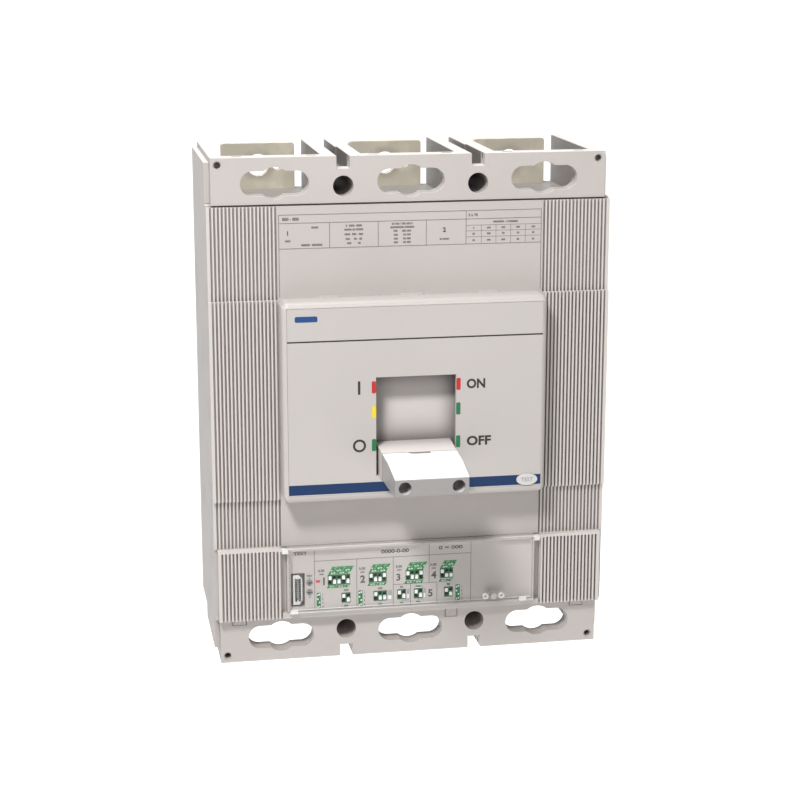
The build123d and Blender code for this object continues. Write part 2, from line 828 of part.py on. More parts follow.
def mechanism_frame():
    """Two steel side plates between the yoke legs."""
    foot = -back_wall
    low, throat, foot_top, waist = (shaft_yz[1] + rise for rise in frame_rises)
    front_top, back_top = (pivot_z + rise for rise in frame_crown)
    outline = ((foot, low), (foot, foot_top), (-frame_back, waist), (-frame_back, back_top),
               (-frame_front, front_top), (-frame_front, throat), (-frame_throat, low))
    outer = frame_x + frame_thickness
    plate = side_prism(outline, frame_x, outer)
    plate -= rod_x(shaft_radius + moving_gap, 0, outer + 1, shaft_yz)
    plate -= rod_x(pivot_radius, 0, outer + 1, pivot_yz)
    plate -= rod_x(pin_radius, 0, outer + 1, anchor_yz)
    plate -= rod_x(pin_radius, 0, outer + 1, latch_yz)
    return both_sides(plate)


def frame_pins():
    """Two handle pivot pins, the fixed link pin and the latch pin."""
    outer = yoke_leg_x + yoke_leg_thickness + pin_end
    stub = rod_x(pivot_radius, frame_x, outer, pivot_yz)
    span = frame_x + frame_thickness
    pins = [stub, mirror(stub, about=Plane.YZ), rod_x(pin_radius, -span, span, anchor_yz),
            rod_x(pin_radius, -span, span, latch_yz)]
    return Compound(children=pins)


def latch_cradle():
    """Latch that lets the mechanism go when the trip bar releases it."""
    end = (latch_yz[0], latch_yz[1] - latch_length)
    half = latch_thickness / 2
    link = bar_between(latch_yz, end, latch_width, -half, half)
    return link - rod_x(pin_radius + running_gap, -half - 1, half + 1, latch_yz)


def knee_pin():
    reach = lower_link_x + link_thickness + pin_end / 2
    return rod_x(pin_radius, -reach, reach, knee_point())


def upper_links():
    """Pair of links from the fixed pin to the knee."""
    link = bar_between(anchor_yz, knee_point(), link_width, upper_link_x, upper_link_x + link_thickness)
    link -= rod_x(pin_radius + running_gap, 0, 30, anchor_yz)
    link -= rod_x(pin_radius, 0, 30, knee_point())
    return both_sides(link)


def lower_links():
    """Pair of links from the knee to the shaft's crank, with a wide hole at the knee."""
    link = bar_between(crank_point(), knee_point(), link_width, lower_link_x, lower_link_x + link_thickness)
    link += rod_x(pin_radius + knee_clearance + knee_rim, lower_link_x, lower_link_x + link_thickness, knee_point())
    link -= rod_x(pin_radius + running_gap, 0, 30, crank_point())
    link -= rod_x(pin_radius + knee_clearance, 0, 30, knee_point())
    return both_sides(link)


def drive_springs():
    """Space taken by the two coil springs from the yoke to the knee."""
    start = turned_point((pivot_yz[0] - yoke_reach, pivot_z), pivot_yz, off_tilt)
    end = knee_point()
    first, last = spring_end_gaps
    length = hypot(end[0] - start[0], end[1] - start[1]) - pin_radius - first - last
    slope = degrees(atan2(end[1] - start[1], end[0] - start[0]))
    tube = Cylinder(spring_radius, length) - Cylinder(spring_radius - wire_radius, length)
    tube = Rot(0, 90, 0) * Pos(0, 0, length / 2 + first) * tube
    springs = []
    for x in (-spring_x, spring_x):
        springs.append(Pos(x, start[0], start[1]) * Rot(slope, 0, 0) * Rot(0, 0, 90) * tube)
    return Compound(children=springs)


# ---------------------------------------------------------------- contacts
def closed_arm(pole):
    """One moving contact arm in the closed position."""
    front = -(back_wall + bar_thickness + contact_pad[1] * 2 + contact_gap + arm_thickness)
    z0 = shaft_yz[1] - arm_heel
    z1 = shaft_yz[1] + arm_reach
    arm = block(pole - arm_width / 2, pole + arm_width / 2, front + arm_thickness, front, z0, z1)
    pad = contact_pad
    arm += block(pole - pad[0] / 2, pole + pad[0] / 2, front + arm_thickness + pad[1], front + arm_thickness,
                 z1 - pad[2], z1)
    return arm


def contact_arms():
    return Compound(children=[open_turn(closed_arm(pole)) for pole in pole_x])


def contact_springs():
    """Springs that press each arm onto its fixed contact."""
    tubes = []
    front = closed_arm_front()
    z = shaft_yz[1] + contact_spring_rise
    end = front - contact_spring_length
    for pole in pole_x:
        tube = rod_y(spring_radius, pole, z, front, end)
        tube -= rod_y(spring_radius - wire_radius, pole, z, front, end)
        tubes.append(open_turn(tube))
    return Compound(children=tubes)


def closed_arm_front():
    return -(back_wall + bar_thickness + contact_pad[1] * 2 + contact_gap + arm_thickness)


def contact_shaft():
    """Moulded shaft across all poles, with a carrier for each arm and the crank."""
    shape = rod_x(shaft_radius, -shaft_length / 2, shaft_length / 2, shaft_yz)
    front = closed_arm_front()
    z0 = shaft_yz[1]
    width, height, reach = carrier
    for pole in pole_x:
        half = width / 2
        holder = block(pole - half, pole + half, front + arm_thickness, front - reach, z0, z0 + height)
        holder -= rod_y(spring_radius + fitted_gap, pole, z0 + contact_spring_rise, front + 1,
                        front - contact_spring_length)
        shape += open_turn(holder)
        shape -= open_turn(closed_arm(pole))
    crank_tip = (shaft_yz[0], z0 + crank_radius)
    crank = bar_between(shaft_yz, crank_tip, crank_width, crank_plate_x, crank_plate_x + crank_thickness)
    shape += open_turn(both_sides(crank))
    reach = lower_link_x + link_thickness
    pin = rod_x(pin_radius, crank_plate_x, reach, crank_point())
    return shape + both_sides(pin)


def bar_holes(pole, z):
    """Main terminal hole with a small hole at each side."""
    holes = [rod_y(bar_hole_radius, pole, z, 1, -20)]
    for x in (pole - small_hole_x, pole + small_hole_x):
        holes.append(rod_y(small_hole_radius, x, z, 1, -20))
    return holes


def upper_terminals():
    """Line-side bars with their fixed contacts."""
    bars = []
    y0 = -back_wall
    y1 = y0 - bar_thickness
    z_pad = bottom + fixed_contact_h
    pad = contact_pad
    for pole in pole_x:
        half = bar_width / 2
        bar = block(pole - half, pole + half, y0, y1, bottom + upper_bar_h, top - bar_end_gap)
        bar = fillet(bar.edges().filter_by(Axis.Y).sort_by(Axis.Z)[-2:], bar_corner)
        bar -= bar_holes(pole, top - bar_hole_inset)
        half = pad[0] / 2
        bar += block(pole - half, pole + half, y1, y1 - pad[1], z_pad - pad[2] / 2, z_pad + pad[2] / 2)
        bars.append(bar)
    return Compound(children=bars)


def lower_terminals():
    """Load-side bars that step forward and pass through the transformers."""
    bars = []
    y0 = -back_wall
    y1 = y0 - bar_thickness
    half = bar_width / 2
    jog = bottom + jog_h
    for pole in pole_x:
        bar = block(pole - half, pole + half, y0, y1, bottom + bar_end_gap, jog)
        bar = fillet(bar.edges().filter_by(Axis.Y).sort_by(Axis.Z)[:2], bar_corner)
        bar -= bar_holes(pole, bottom + bar_hole_inset)
        bar += block(pole - half, pole + half, y0, y1 - bar_jog, jog - bar_thickness, jog)
        bar += block(pole - half, pole + half, y0 - bar_jog, y1 - bar_jog, jog - bar_thickness,
                     bottom + lower_bar_h)
        bars.append(bar)
    return Compound(children=bars)


def flexible_shunts():
    """Braids on the load side, ending below the arms."""
    y0 = -(back_wall + bar_thickness + bar_jog)
    z0 = bottom + lower_bar_h - shunt_drop
    z1 = z0 + shunt_drop
    half = shunt_width / 2
    straps = []
    for pole in pole_x:
        strap = block(pole - half, pole + half, y0, y0 - shunt_thickness, z0, z1)
        strap += block(pole - half, pole + half, y0 + shunt_reach, y0 - shunt_thickness, z1, z1 + shunt_rise)
        straps.append(strap)
    return Compound(children=straps)


def current_transformers():
    """Sensing coils around the load-side bars."""
    y_mid = -(back_wall + bar_jog + bar_thickness / 2)
    z0 = bottom + transformer_h
    coils = []
    for pole in pole_x:
        half = transformer_width / 2
        deep = transformer_thickness / 2
        coil = block(pole - half, pole + half, y_mid + deep, y_mid - deep, z0, z0 + transformer_height)
        slot = bar_width / 2 + moving_gap
        thin = bar_thickness / 2 + moving_gap
        coil -= block(pole - slot, pole + slot, y_mid + thin, y_mid - thin, z0 - 1,
                      z0 + transformer_height + 1)
        coils.append(coil)
    return Compound(children=coils)


def arc_chute_sides():
    """Insulating side walls of the arc chutes."""
    z0 = bottom + chute_h[0]
    z1 = bottom + chute_h[1]
    walls = []
    for pole in pole_x:
        for side in (-1, 1):
            outer = pole + side * chute_width / 2
            walls.append(block(outer, outer - side * chute_side, -chute_depth[0], -chute_depth[1], z0, z1))
    return Compound(children=walls)


def arc_chute_plates():
    """Steel splitter plates with a notch for the arc."""
    z0 = bottom + chute_h[0] + 1
    z1 = bottom + chute_h[1] - 1
    half = chute_width / 2 - chute_side
    pitch = (chute_depth[1] - chute_depth[0] - chute_edge) / plate_count
    plates = []
    for pole in pole_x:
        for i in range(plate_count):
            y = -(chute_depth[0] + chute_edge + i * pitch)
            plate = block(pole - half, pole + half, y, y - plate_thickness, z0, z1)
            width, height = plate_notch
            plates.append(plate - block(pole - width / 2, pole + width / 2, y + 1, y - plate_thickness - 1,
                                        z0 - 1, z0 + height))
    return Compound(children=plates)


# ---------------------------------------------------------------- trip bar and trip unit
def trip_bar_end():
    return test_x + finger_width / 2 + 1


def trip_bar():
    """Bar with a finger behind the push-to-trip stem and one at the latch."""
    start = -pole_pitch / 2 - partition / 2 + 0.5
    shape = rod_x(trip_bar_radius, start, trip_bar_end(), trip_bar_yz)
    z = trip_bar_yz[1]
    half = finger_width / 2
    root, latch_tall, stem_tall = finger_heights
    front = -stem_reach + moving_gap + 0.1
    shape += block(test_x - half, test_x + half, trip_bar_yz[0] + 1, front, z - 2, z + root)
    shape += block(test_x - half, test_x + half, front + 2.5, front, z, z + stem_tall)
    return shape + block(-half, half, trip_bar_yz[0] + 2, trip_bar_yz[0] - 2, z, z + latch_tall)


def bank_slots(x, pattern):
    """Centre X of each slot in one switch bank."""
    first = x - slider_pitch * (len(pattern) - 1) / 2
    return [first + i * slider_pitch for i in range(len(pattern))]


def bank_block(x, h, pattern, grow):
    half = slider_pitch * len(pattern) / 2 + grow
    tall = bank_height / 2 + grow
    z = bottom + h
    return block(x - half, x + half, -unit_face_depth + bank_body_depth, -unit_face_depth, z - tall, z + tall)


def slot_half_height():
    return (slider_height + slider_travel) / 2 + fitted_gap


def switch_banks():
    """Bodies of the miniature switches, with a slot for each slider."""
    bodies = []
    for name, x, h, pattern in banks:
        body = bank_block(x, h, pattern, 0)
        z = bottom + h
        tall = slot_half_height()
        half = slider_width / 2 + running_gap
        for slot in bank_slots(x, pattern):
            body -= block(slot - half, slot + half, -unit_face_depth + slot_floor, -unit_face_depth - 1,
                          z - tall, z + tall)
        bodies.append(body)
    return Compound(children=bodies)


def switch_slider(x, h, is_up):
    """One slider, standing a little proud of the face."""
    offset = slider_travel / 2 if is_up else -slider_travel / 2
    z = bottom + h + offset
    half = slider_width / 2
    tall = slider_height / 2
    floor = -unit_face_depth + slot_floor - moving_gap
    return block(x - half, x + half, floor, -unit_face_depth - slider_proud, z - tall, z + tall)


def write_sliders():
    for name, x, h, pattern in banks:
        for i, slot in enumerate(bank_slots(x, pattern)):
            write(f"slider_{name}_{i + 1}", switch_slider(slot, h, pattern[i] == "U"))


def trip_unit_case():
    """Housing of the electronic trip unit with its marked face."""
    half = unit_width / 2
    z0 = bottom + unit_h[0]
    z1 = bottom + unit_h[1]
    shape = block(-half, half, -unit_back_depth, -unit_face_depth, z0, z1)
    w = unit_wall
    inside = -unit_face_depth + bank_body_depth + board_gap
    shape -= block(-half + w, half - w, -unit_back_depth - w, inside, z0 + w, z1 - w)
    rebate = -unit_face_depth + lid_rebate
    shape -= block(-half - 1, half + 1, rebate, -unit_face_depth - 1, lid_axis_yz[1], z1 + 1)
    for name, x, h, pattern in banks:
        shape -= bank_block(x, h, pattern, 0) + Pos(0, -1, 0) * bank_block(x, h, pattern, 0)
    face = -unit_face_depth
    shape -= block(socket_x[0], socket_x[1], face + socket_depth, face - 1, bottom + socket_h[0],
                   bottom + socket_h[1])
    for h in jack_h:
        shape -= rod_y(jack_radius, jack_x, bottom + h, face + socket_depth, face - 1)
    z = bottom + lens_h
    shape -= block(lens_x - lens_size[0] / 2, lens_x + lens_size[0] / 2, face + 1, face - 1,
                   z - lens_size[1] / 2, z + lens_size[1] / 2)
    post = rod_y(seal_post_radius, seal_post_x, bottom + seal_post_h, face + 1, -seal_post_reach)
    return shape + post


def trip_unit_board():
    """Circuit board behind the switches."""
    half = unit_width / 2 - board_margin
    y = -unit_face_depth + bank_body_depth + board_gap
    z0 = bottom + unit_h[0] + board_margin
    return block(-half, half, y + board_thickness, y, z0, bottom + unit_h[1] - board_margin)


def test_connector():
    """D-shaped test socket in its recess."""
    x = (socket_x[0] + socket_x[1]) / 2
    z = bottom + (socket_h[0] + socket_h[1]) / 2
    half = plug_size[0] / 2
    tall = plug_size[1] / 2
    cut_x, cut_z = plug_corner
    outline = ((x - half, z - tall), (x - half, z + tall), (x + half - cut_x, z + tall),
               (x + half, z + tall - cut_z), (x + half, z - tall + cut_z), (x + half - cut_x, z - tall))
    face = -unit_face_depth
    shell = front_prism(make_face(Polyline(*outline, close=True)), face + socket_depth, face + moving_gap)
    wide, deep, margin = plug_slot
    half = wide / 2
    return shell - block(x - half, x + half, face + deep, face - 1, z - tall + margin, z + tall - margin)


def test_jacks():
    """Two small crossed jacks beside the test socket."""
    jacks = []
    face = -unit_face_depth
    length, width, depth = jack_cross
    for h in jack_h:
        z = bottom + h
        jack = rod_y(jack_radius, jack_x, z, face + socket_depth, face - jack_proud)
        for dx, dz in ((length / 2, width / 2), (width / 2, length / 2)):
            jack -= block(jack_x - dx, jack_x + dx, face + depth, face - 1, z - dz, z + dz)
        jacks.append(jack)
    return Compound(children=jacks)


def seal_eyes(shape):
    """Two small eyes for a seal wire, one at each side of the post."""
    outer, inner, offset, height = seal_eye
    z = bottom + seal_post_h
    for x in (seal_post_x - offset, seal_post_x + offset):
        shape += rod_y(outer, x, z, -lid_depth, -lid_depth - height)
        shape -= rod_y(inner, x, z, -lid_depth + 1, -lid_depth - height - 1)
    return shape


def lid_lugs():
    """Hinge lugs at the lid's top corners, with pins into the lower cover."""
    inner = rib_field_x - moving_gap
    front, below, above, behind = lid_lug
    y, z = lid_axis_yz
    back = -unit_face_depth - moving_gap
    lug = block(lid_half_width - 1, inner, back, y - front, z - below, z + above)
    lug += block(unit_width / 2 + moving_gap, inner, y + behind, y - front, z - below, z + above)
    lug += rod_x(lid_pin_radius, inner - 1, rib_field_x + lid_pin_length, lid_axis_yz)
    return both_sides(lug)


def trip_window():
    """Clear lid over the trip unit, hinged at its top corners."""
    x = lid_half_width
    z0 = bottom + lid_h[0]
    z1 = bottom + lid_h[1]
    back = -unit_face_depth - moving_gap
    shape = block(-x, x, back, -lid_depth, z0, z1)
    t = lid_thickness
    shape -= block(-x + t, x - t, back + 1, -lid_depth + t, z0 + t, z1 - t)
    post_z = bottom + seal_post_h
    shape -= rod_y(seal_post_radius + moving_gap + 0.3, seal_post_x, post_z, back + 1, -lid_depth - 1)
    shape = seal_eyes(shape)
    width, proud, tall = lid_clip
    for left in (-x + lid_clip_x[0], x - lid_clip_x[1] - width):
        shape += block(left, left + width, -lid_depth, -lid_depth - proud, z0, z0 + tall)
    return shape + lid_lugs()


# ---------------------------------------------------------------- write every node
nodes = (
    ("base_case", base_case), ("main_cover", main_cover), ("lower_cover", lower_cover),
    ("front_bezel", front_bezel), ("cover_screws", cover_screws),
    ("toggle_lever", toggle_lever), ("toggle_shutter", toggle_shutter), ("toggle_cap", toggle_cap),
    ("test_button", test_button), ("button_spring", button_spring),
    ("mechanism_frame", mechanism_frame), ("frame_pins", frame_pins), ("latch_cradle", latch_cradle),
    ("upper_links", upper_links), ("knee_pin", knee_pin), ("lower_links", lower_links),
    ("drive_springs", drive_springs), ("contact_shaft", contact_shaft), ("contact_arms", contact_arms),
    ("contact_springs", contact_springs), ("upper_terminals", upper_terminals),
    ("lower_terminals", lower_terminals), ("flexible_shunts", flexible_shunts),
    ("current_transformers", current_transformers), ("arc_chute_sides", arc_chute_sides),
    ("arc_chute_plates", arc_chute_plates), ("trip_bar", trip_bar), ("trip_unit_case", trip_unit_case),
    ("trip_unit_board", trip_unit_board), ("switch_banks", switch_banks),
    ("test_connector", test_connector), ("test_jacks", test_jacks), ("trip_window", trip_window),
)
for node_name, make in nodes:
    write(node_name, make())
write_sliders()
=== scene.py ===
import bpy
import json
import math
from mathutils import Matrix, Vector


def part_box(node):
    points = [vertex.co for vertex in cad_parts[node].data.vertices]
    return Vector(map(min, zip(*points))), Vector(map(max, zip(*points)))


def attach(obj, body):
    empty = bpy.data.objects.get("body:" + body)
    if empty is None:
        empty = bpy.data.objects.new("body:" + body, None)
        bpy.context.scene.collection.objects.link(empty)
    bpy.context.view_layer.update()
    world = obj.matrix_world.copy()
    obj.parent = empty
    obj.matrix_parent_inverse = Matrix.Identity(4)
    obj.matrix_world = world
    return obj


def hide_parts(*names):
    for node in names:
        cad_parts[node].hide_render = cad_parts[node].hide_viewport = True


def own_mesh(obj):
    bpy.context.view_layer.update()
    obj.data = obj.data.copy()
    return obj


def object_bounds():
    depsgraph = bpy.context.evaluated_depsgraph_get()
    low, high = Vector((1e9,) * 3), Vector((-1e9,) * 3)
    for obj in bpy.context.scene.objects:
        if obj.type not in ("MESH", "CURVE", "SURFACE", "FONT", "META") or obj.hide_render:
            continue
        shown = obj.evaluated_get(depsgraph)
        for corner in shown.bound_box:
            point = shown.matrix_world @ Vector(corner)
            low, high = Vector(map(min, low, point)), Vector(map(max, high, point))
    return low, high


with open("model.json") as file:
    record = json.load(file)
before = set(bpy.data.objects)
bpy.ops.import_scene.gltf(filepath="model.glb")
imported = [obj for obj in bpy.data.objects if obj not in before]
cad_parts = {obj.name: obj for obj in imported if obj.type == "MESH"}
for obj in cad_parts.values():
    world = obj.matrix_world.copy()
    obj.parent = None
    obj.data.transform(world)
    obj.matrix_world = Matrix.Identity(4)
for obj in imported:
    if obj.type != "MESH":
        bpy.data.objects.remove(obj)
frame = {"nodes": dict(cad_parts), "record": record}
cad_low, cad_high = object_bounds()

MM = 0.001
CASE_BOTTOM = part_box("base_case")[0][2] / MM


def h(height):
    """Height above the case's bottom edge, in millimetres, as a place in the frame."""
    return CASE_BOTTOM + height


# ------------------------------------------------------------------ shader arithmetic
class Value:
    """One number that varies over a surface."""

    def __init__(self, tree, socket):
        self.tree = tree
        self.socket = socket

    def maths(self, operation, *operands):
        node = self.tree.nodes.new("ShaderNodeMath")
        node.operation = operation
        for slot, operand in zip(node.inputs, operands):
            feed(self.tree, slot, operand)
        return Value(self.tree, node.outputs[0])

    def __add__(self, other):
        return self.maths("ADD", self, other)

    def __radd__(self, other):
        return self.maths("ADD", other, self)

    def __sub__(self, other):
        return self.maths("SUBTRACT", self, other)

    def __rsub__(self, other):
        return self.maths("SUBTRACT", other, self)

    def __mul__(self, other):
        return self.maths("MULTIPLY", self, other)

    def __rmul__(self, other):
        return self.maths("MULTIPLY", other, self)

    def __truediv__(self, other):
        return self.maths("DIVIDE", self, other)

    def __pow__(self, other):
        return self.maths("POWER", self, other)

    def __mod__(self, other):
        return self.maths("FLOORED_MODULO", self, other)

    def __abs__(self):
        return self.maths("ABSOLUTE", self)

    def __lt__(self, other):
        return self.maths("LESS_THAN", self, other)

    def __gt__(self, other):
        return self.maths("GREATER_THAN", self, other)

    def __or__(self, other):
        return self.maths("MAXIMUM", self, other)


def feed(tree, slot, operand):
    """Put a number, a colour or a link into one input."""
    if isinstance(operand, Value):
        tree.links.new(operand.socket, slot)
    elif slot.type == "RGBA" and len(operand) == 3:
        slot.default_value = (*operand, 1.0)
    else:
        slot.default_value = operand


class Finish:
    """A material on one Principled surface, read from Object coordinates."""

    def __init__(self, name, **surface):
        self.material = bpy.data.materials.new(name)
        self.material.use_nodes = True
        self.tree = self.material.node_tree
        self.surface = self.tree.nodes["Principled BSDF"]
        self.place = self.node("ShaderNodeTexCoord", output="Object")
        self.set(**surface)

    def node(self, kind, settings=None, inputs=None, output=0):
        node = self.tree.nodes.new(kind)
        for key, value in (settings or {}).items():
            setattr(node, key, value)
        for key, value in (inputs or {}).items():
            feed(self.tree, node.inputs[key], value)
        return Value(self.tree, node.outputs[output])

    def set(self, **surface):
        """Principled inputs by name, with underscores for blanks."""
        for key, value in surface.items():
            name = " ".join(word if word == "IOR" else word.capitalize() for word in key.split("_"))
            feed(self.tree, self.surface.inputs[name], value)
        return self

    def split(self, vector):
        """X, Y and Z of a vector."""
        parts = self.tree.nodes.new("ShaderNodeSeparateXYZ")
        feed(self.tree, parts.inputs[0], vector)
        return [Value(self.tree, out) for out in parts.outputs]

    def axes(self):
        """X, Y and Z of the surface point, in metres."""
        return self.split(self.place)

    def facing(self):
        """The true normal's X, Y and Z."""
        return self.split(self.node("ShaderNodeNewGeometry", output="True Normal"))

    def cloud(self, scale, detail=2.0, rough=0.5, stretch=(1, 1, 1), seed=0.0):
        """Soft noise from 0 to 1; scale is in features per metre."""
        place = self.node("ShaderNodeMapping", inputs={"Vector": self.place, "Scale": stretch,
                                                       "Location": (seed, seed * 0.7, seed * 0.3)})
        return self.node("ShaderNodeTexNoise", inputs={"Vector": place, "Scale": scale, "Detail": detail,
                                                       "Roughness": rough})

    def openness(self, reach, own=True):
        """1 in the open, towards 0 in grooves, within a reach in metres.

        It looks at the piece's own mesh, or at every piece when own is False.
        """
        return self.node("ShaderNodeAmbientOcclusion", {"samples": 6, "only_local": own},
                         {"Distance": reach}, output="AO")

    def spread(self, value, low, high, out_low=0.0, out_high=1.0, smooth=True):
        """Map one range onto another, held at the ends."""
        kind = "SMOOTHSTEP" if smooth else "LINEAR"
        return self.node("ShaderNodeMapRange", {"interpolation_type": kind, "clamp": True},
                         {"Value": value, "From Min": low, "From Max": high,
                          "To Min": out_low, "To Max": out_high})

    def blend(self, share, first, second):
        """A colour between two colours."""
        node = self.tree.nodes.new("ShaderNodeMix")
        node.data_type = "RGBA"
        feed(self.tree, node.inputs[0], share)
        feed(self.tree, node.inputs[6], first)
        feed(self.tree, node.inputs[7], second)
        return Value(self.tree, node.outputs[2])

    def relief(self, height, distance, strength=1.0, radius=0.0):
        """Bump from a height field, over edges softened by a radius in metres."""
        inputs = {"Height": height, "Distance": distance, "Strength": strength}
        if radius:
            inputs["Normal"] = self.node("ShaderNodeBevel", {"samples": 4}, {"Radius": radius})
        self.set(normal=self.node("ShaderNodeBump", inputs=inputs))
        return self


def shade(colour, factor):
    """A colour made darker or lighter."""
    return tuple(min(1.0, channel * factor) for channel in colour)


# ------------------------------------------------------------------ finishes
# Zones of the case's painted shade and painted highlight, in millimetres: |x| and |z| from the middle, y
# towards the back.
RIB_FIELD_END = 110.6    # |z| past which there are no ribs
CREST_X = 69.9           # rib crests lie past this |x|,
CREST_Y = -88.7          # in front of this y
CREST_Z = 110.3          # and within this |z|
SKIN_X = 102.0           # side skins lie past this |x|
WELL_X, WELL_HALF, WELL_END = 35.0, 5.6, 124.6    # mounting wells: |x|, half width, outer |z|
BAY_Z, BAY_X, BAY_Y = (107.6, 133.7), 96.5, -77.9    # insides of the terminal bays
LATCH_Z, LATCH_Y = (130.9, 133.8), (-83.1, -80.3)    # latch pockets in the end faces


def between(value, low, high):
    """1 where a value lies between two numbers."""
    return (value > low) * (value < high)


def moulding(name, colour, rough, texture=1.0, edge=0.35, gloss=0.5, depths=0.0, bays=0.0):
    """Moulded plastic: flow mottling, fine grain and softly broken edges.

    depths is how far the grooves between ribs are darkened. bays is the tone of the bays' insides;
    with it the rib crests are lightened and the side skins darkened. The darkening is painted shade and
    the lightening a painted highlight, which the lamps don't give, not a colour of the plastic.
    """
    finish = Finish(name, specular_IOR_level=gloss)
    drift = finish.cloud(14, 3.0, 0.55)
    speck = finish.cloud(1600, 2.0, 0.6, seed=3.1)
    tone = finish.spread(drift * 0.8 + speck * 0.2, 0.35, 0.65)
    handled = finish.spread(finish.cloud(38, 4.0, 0.6, seed=7.7), 0.45, 0.7)
    skin = finish.blend(tone, shade(colour, 0.975), shade(colour, 1.02))
    if depths:
        # painted shade: the grooves between the ribs are darkened by how enclosed they are
        past_ribs = abs(finish.axes()[2] / MM) > RIB_FIELD_END
        lit = finish.spread(finish.openness(0.004), 0.12, 0.80) | past_ribs
        skin = finish.blend(lit, shade(colour, 1.0 - depths), skin)
    if bays:
        skin = painted_shade_and_highlight(finish, colour, skin, bays)
    finish.set(base_color=skin, roughness=handled * 0.07 + (rough - 0.03 + speck * 0.06))
    return finish.relief(speck, 0.00006 * texture, 0.5, edge * MM).material


def painted_shade_and_highlight(finish, colour, skin, bays):
    """Painted highlight on the rib crests, painted shade on the side skins, and the bays' insides and latch
    pockets painted in shade at the tone given.
    """
    x, y, z = finish.axes()
    across, back, end = abs(x / MM), y / MM, abs(z / MM)
    facing_x, facing_y = finish.facing()[:2]
    crest = (across > CREST_X) * (back < CREST_Y) * (end < CREST_Z) * (facing_y < -0.9)
    skin = finish.blend(crest, skin, shade(colour, 1.20))
    side = finish.spread(abs(facing_x), 0.7, 0.95) * (across > SKIN_X)
    skin = finish.blend(side, skin, shade(colour, 0.70))
    in_well = (abs(across - WELL_X) < WELL_HALF) * (end < WELL_END)
    inside = between(end, *BAY_Z) * (back > BAY_Y) * (across < BAY_X) * (1.0 - in_well)
    pocket = between(end, *LATCH_Z) * between(back, *LATCH_Y)
    return finish.blend(inside | pocket, skin, shade(colour, bays))


def bezel_finish(front, top):
    """Escutcheon moulding, its upward edges painted a shade darker so that top light doesn't burn them."""
    finish = Finish("escutcheon", specular_IOR_level=0.4)
    upward = finish.spread(finish.facing()[2], 0.15, 0.8)
    drift = finish.spread(finish.cloud(14, 3.0, 0.55), 0.35, 0.65)
    speck = finish.cloud(1600, 2.0, 0.6, seed=3.1)
    plain = finish.blend(drift, shade(front, 0.985), shade(front, 1.015))
    finish.set(base_color=finish.blend(upward, plain, top), roughness=speck * 0.08 + 0.38)
    return finish.relief(speck, 0.00004, 0.5, 0.4 * MM).material


def cap_finish(top, sides):
    """Finger cap: a pale top, and sides darkened with painted shade, greyer than one plastic would be."""
    finish = Finish("handle_cap", specular_IOR_level=0.45)
    upward = finish.spread(finish.facing()[2], 0.25, 0.6)
    speck = finish.cloud(1600, 2.0, 0.6, seed=3.1)
    patches = finish.spread(finish.cloud(60, 3.0, 0.6, seed=1.3), 0.4, 0.7)
    finish.set(base_color=finish.blend(upward, sides, top), roughness=patches * 0.08 + (0.33 + speck * 0.05))
    return finish.relief(speck, 0.00003, 0.4, 0.3 * MM).material


CAP_SEAM_Y = (-112.6, -112.03)
CAP_NOTCH_X = (-6.5, 5.5)


def lever_finish(colour):
    """Grey grip with painted shade in the groove where the cap begins, outside the notch."""
    finish = Finish("lever", specular_IOR_level=0.45)
    x, y = finish.axes()[:2]
    beside_notch = (x / MM < CAP_NOTCH_X[0]) | (x / MM > CAP_NOTCH_X[1])
    groove = between(y / MM, *CAP_SEAM_Y) * beside_notch
    speck = finish.cloud(1600, 2.0, 0.6, seed=3.1)
    drift = finish.spread(finish.cloud(30, 3.0, 0.55), 0.35, 0.65)
    plain = finish.blend(drift, shade(colour, 0.98), shade(colour, 1.02))
    finish.set(base_color=finish.blend(groove, plain, shade(colour, 0.12)), roughness=speck * 0.06 + 0.34)
    return finish.relief(speck, 0.00003, 0.4, 0.2 * MM).material


SHUTTER_MIDDLE_X, SHUTTER_MIDDLE_HEIGHT = 2.0, 142.0


def shutter_finish(colour):
    """Curved shutter, with a painted highlight in the middle of the window, painted shade towards its edges
    and a painted shadow where other pieces come near.
    """
    finish = Finish("shutter", specular_IOR_level=0.4)
    x, _, z = finish.axes()
    height = z / MM - CASE_BOTTOM
    across = finish.spread(abs(x / MM - SHUTTER_MIDDLE_X), 9.0, 24.0, 1.0, 0.0)
    along = finish.spread(abs(height - SHUTTER_MIDDLE_HEIGHT), 7.0, 26.0, 1.0, 0.0)
    # painted shadow where the bezel and other pieces are near the shutter
    edge = finish.spread(finish.openness(0.010, own=False), 0.35, 0.95, 0.30, 1.0)
    speck = finish.cloud(1500, 2.0, 0.6)
    # painted highlight in the middle of the window, painted shade towards its edges
    open_tone = finish.blend(across * along, shade(colour, 0.72), shade(colour, 1.16))
    finish.set(base_color=finish.blend(edge, shade(colour, 0.22), open_tone), roughness=speck * 0.06 + 0.38)
    return finish.relief(speck, 0.00004, 0.4).material


def brushed(name, colour, rough, along="Z", edge=0.25):
    """Rolled or plated metal with fine lines along one axis and slight handling marks."""
    finish = Finish(name, metallic=1.0)
    stretch = {"Y": (1, 0.04, 1), "Z": (1, 1, 0.04)}[along]
    lines = finish.cloud(1500, 2.0, 0.6, stretch)
    stain = finish.spread(finish.cloud(45, 5.0, 0.62, seed=4.4), 0.42, 0.72)
    tone = finish.spread(lines * 0.6 + stain * 0.4, 0.3, 0.7)
    finish.set(base_color=finish.blend(tone, shade(colour, 0.9), shade(colour, 1.06)),
               roughness=lines * 0.12 + (rough - 0.05 + stain * 0.10))
    return finish.relief(lines, 0.00002, 0.35, edge * MM).material


POLE_PITCH = 70.0
BOLT_Z = 121.1


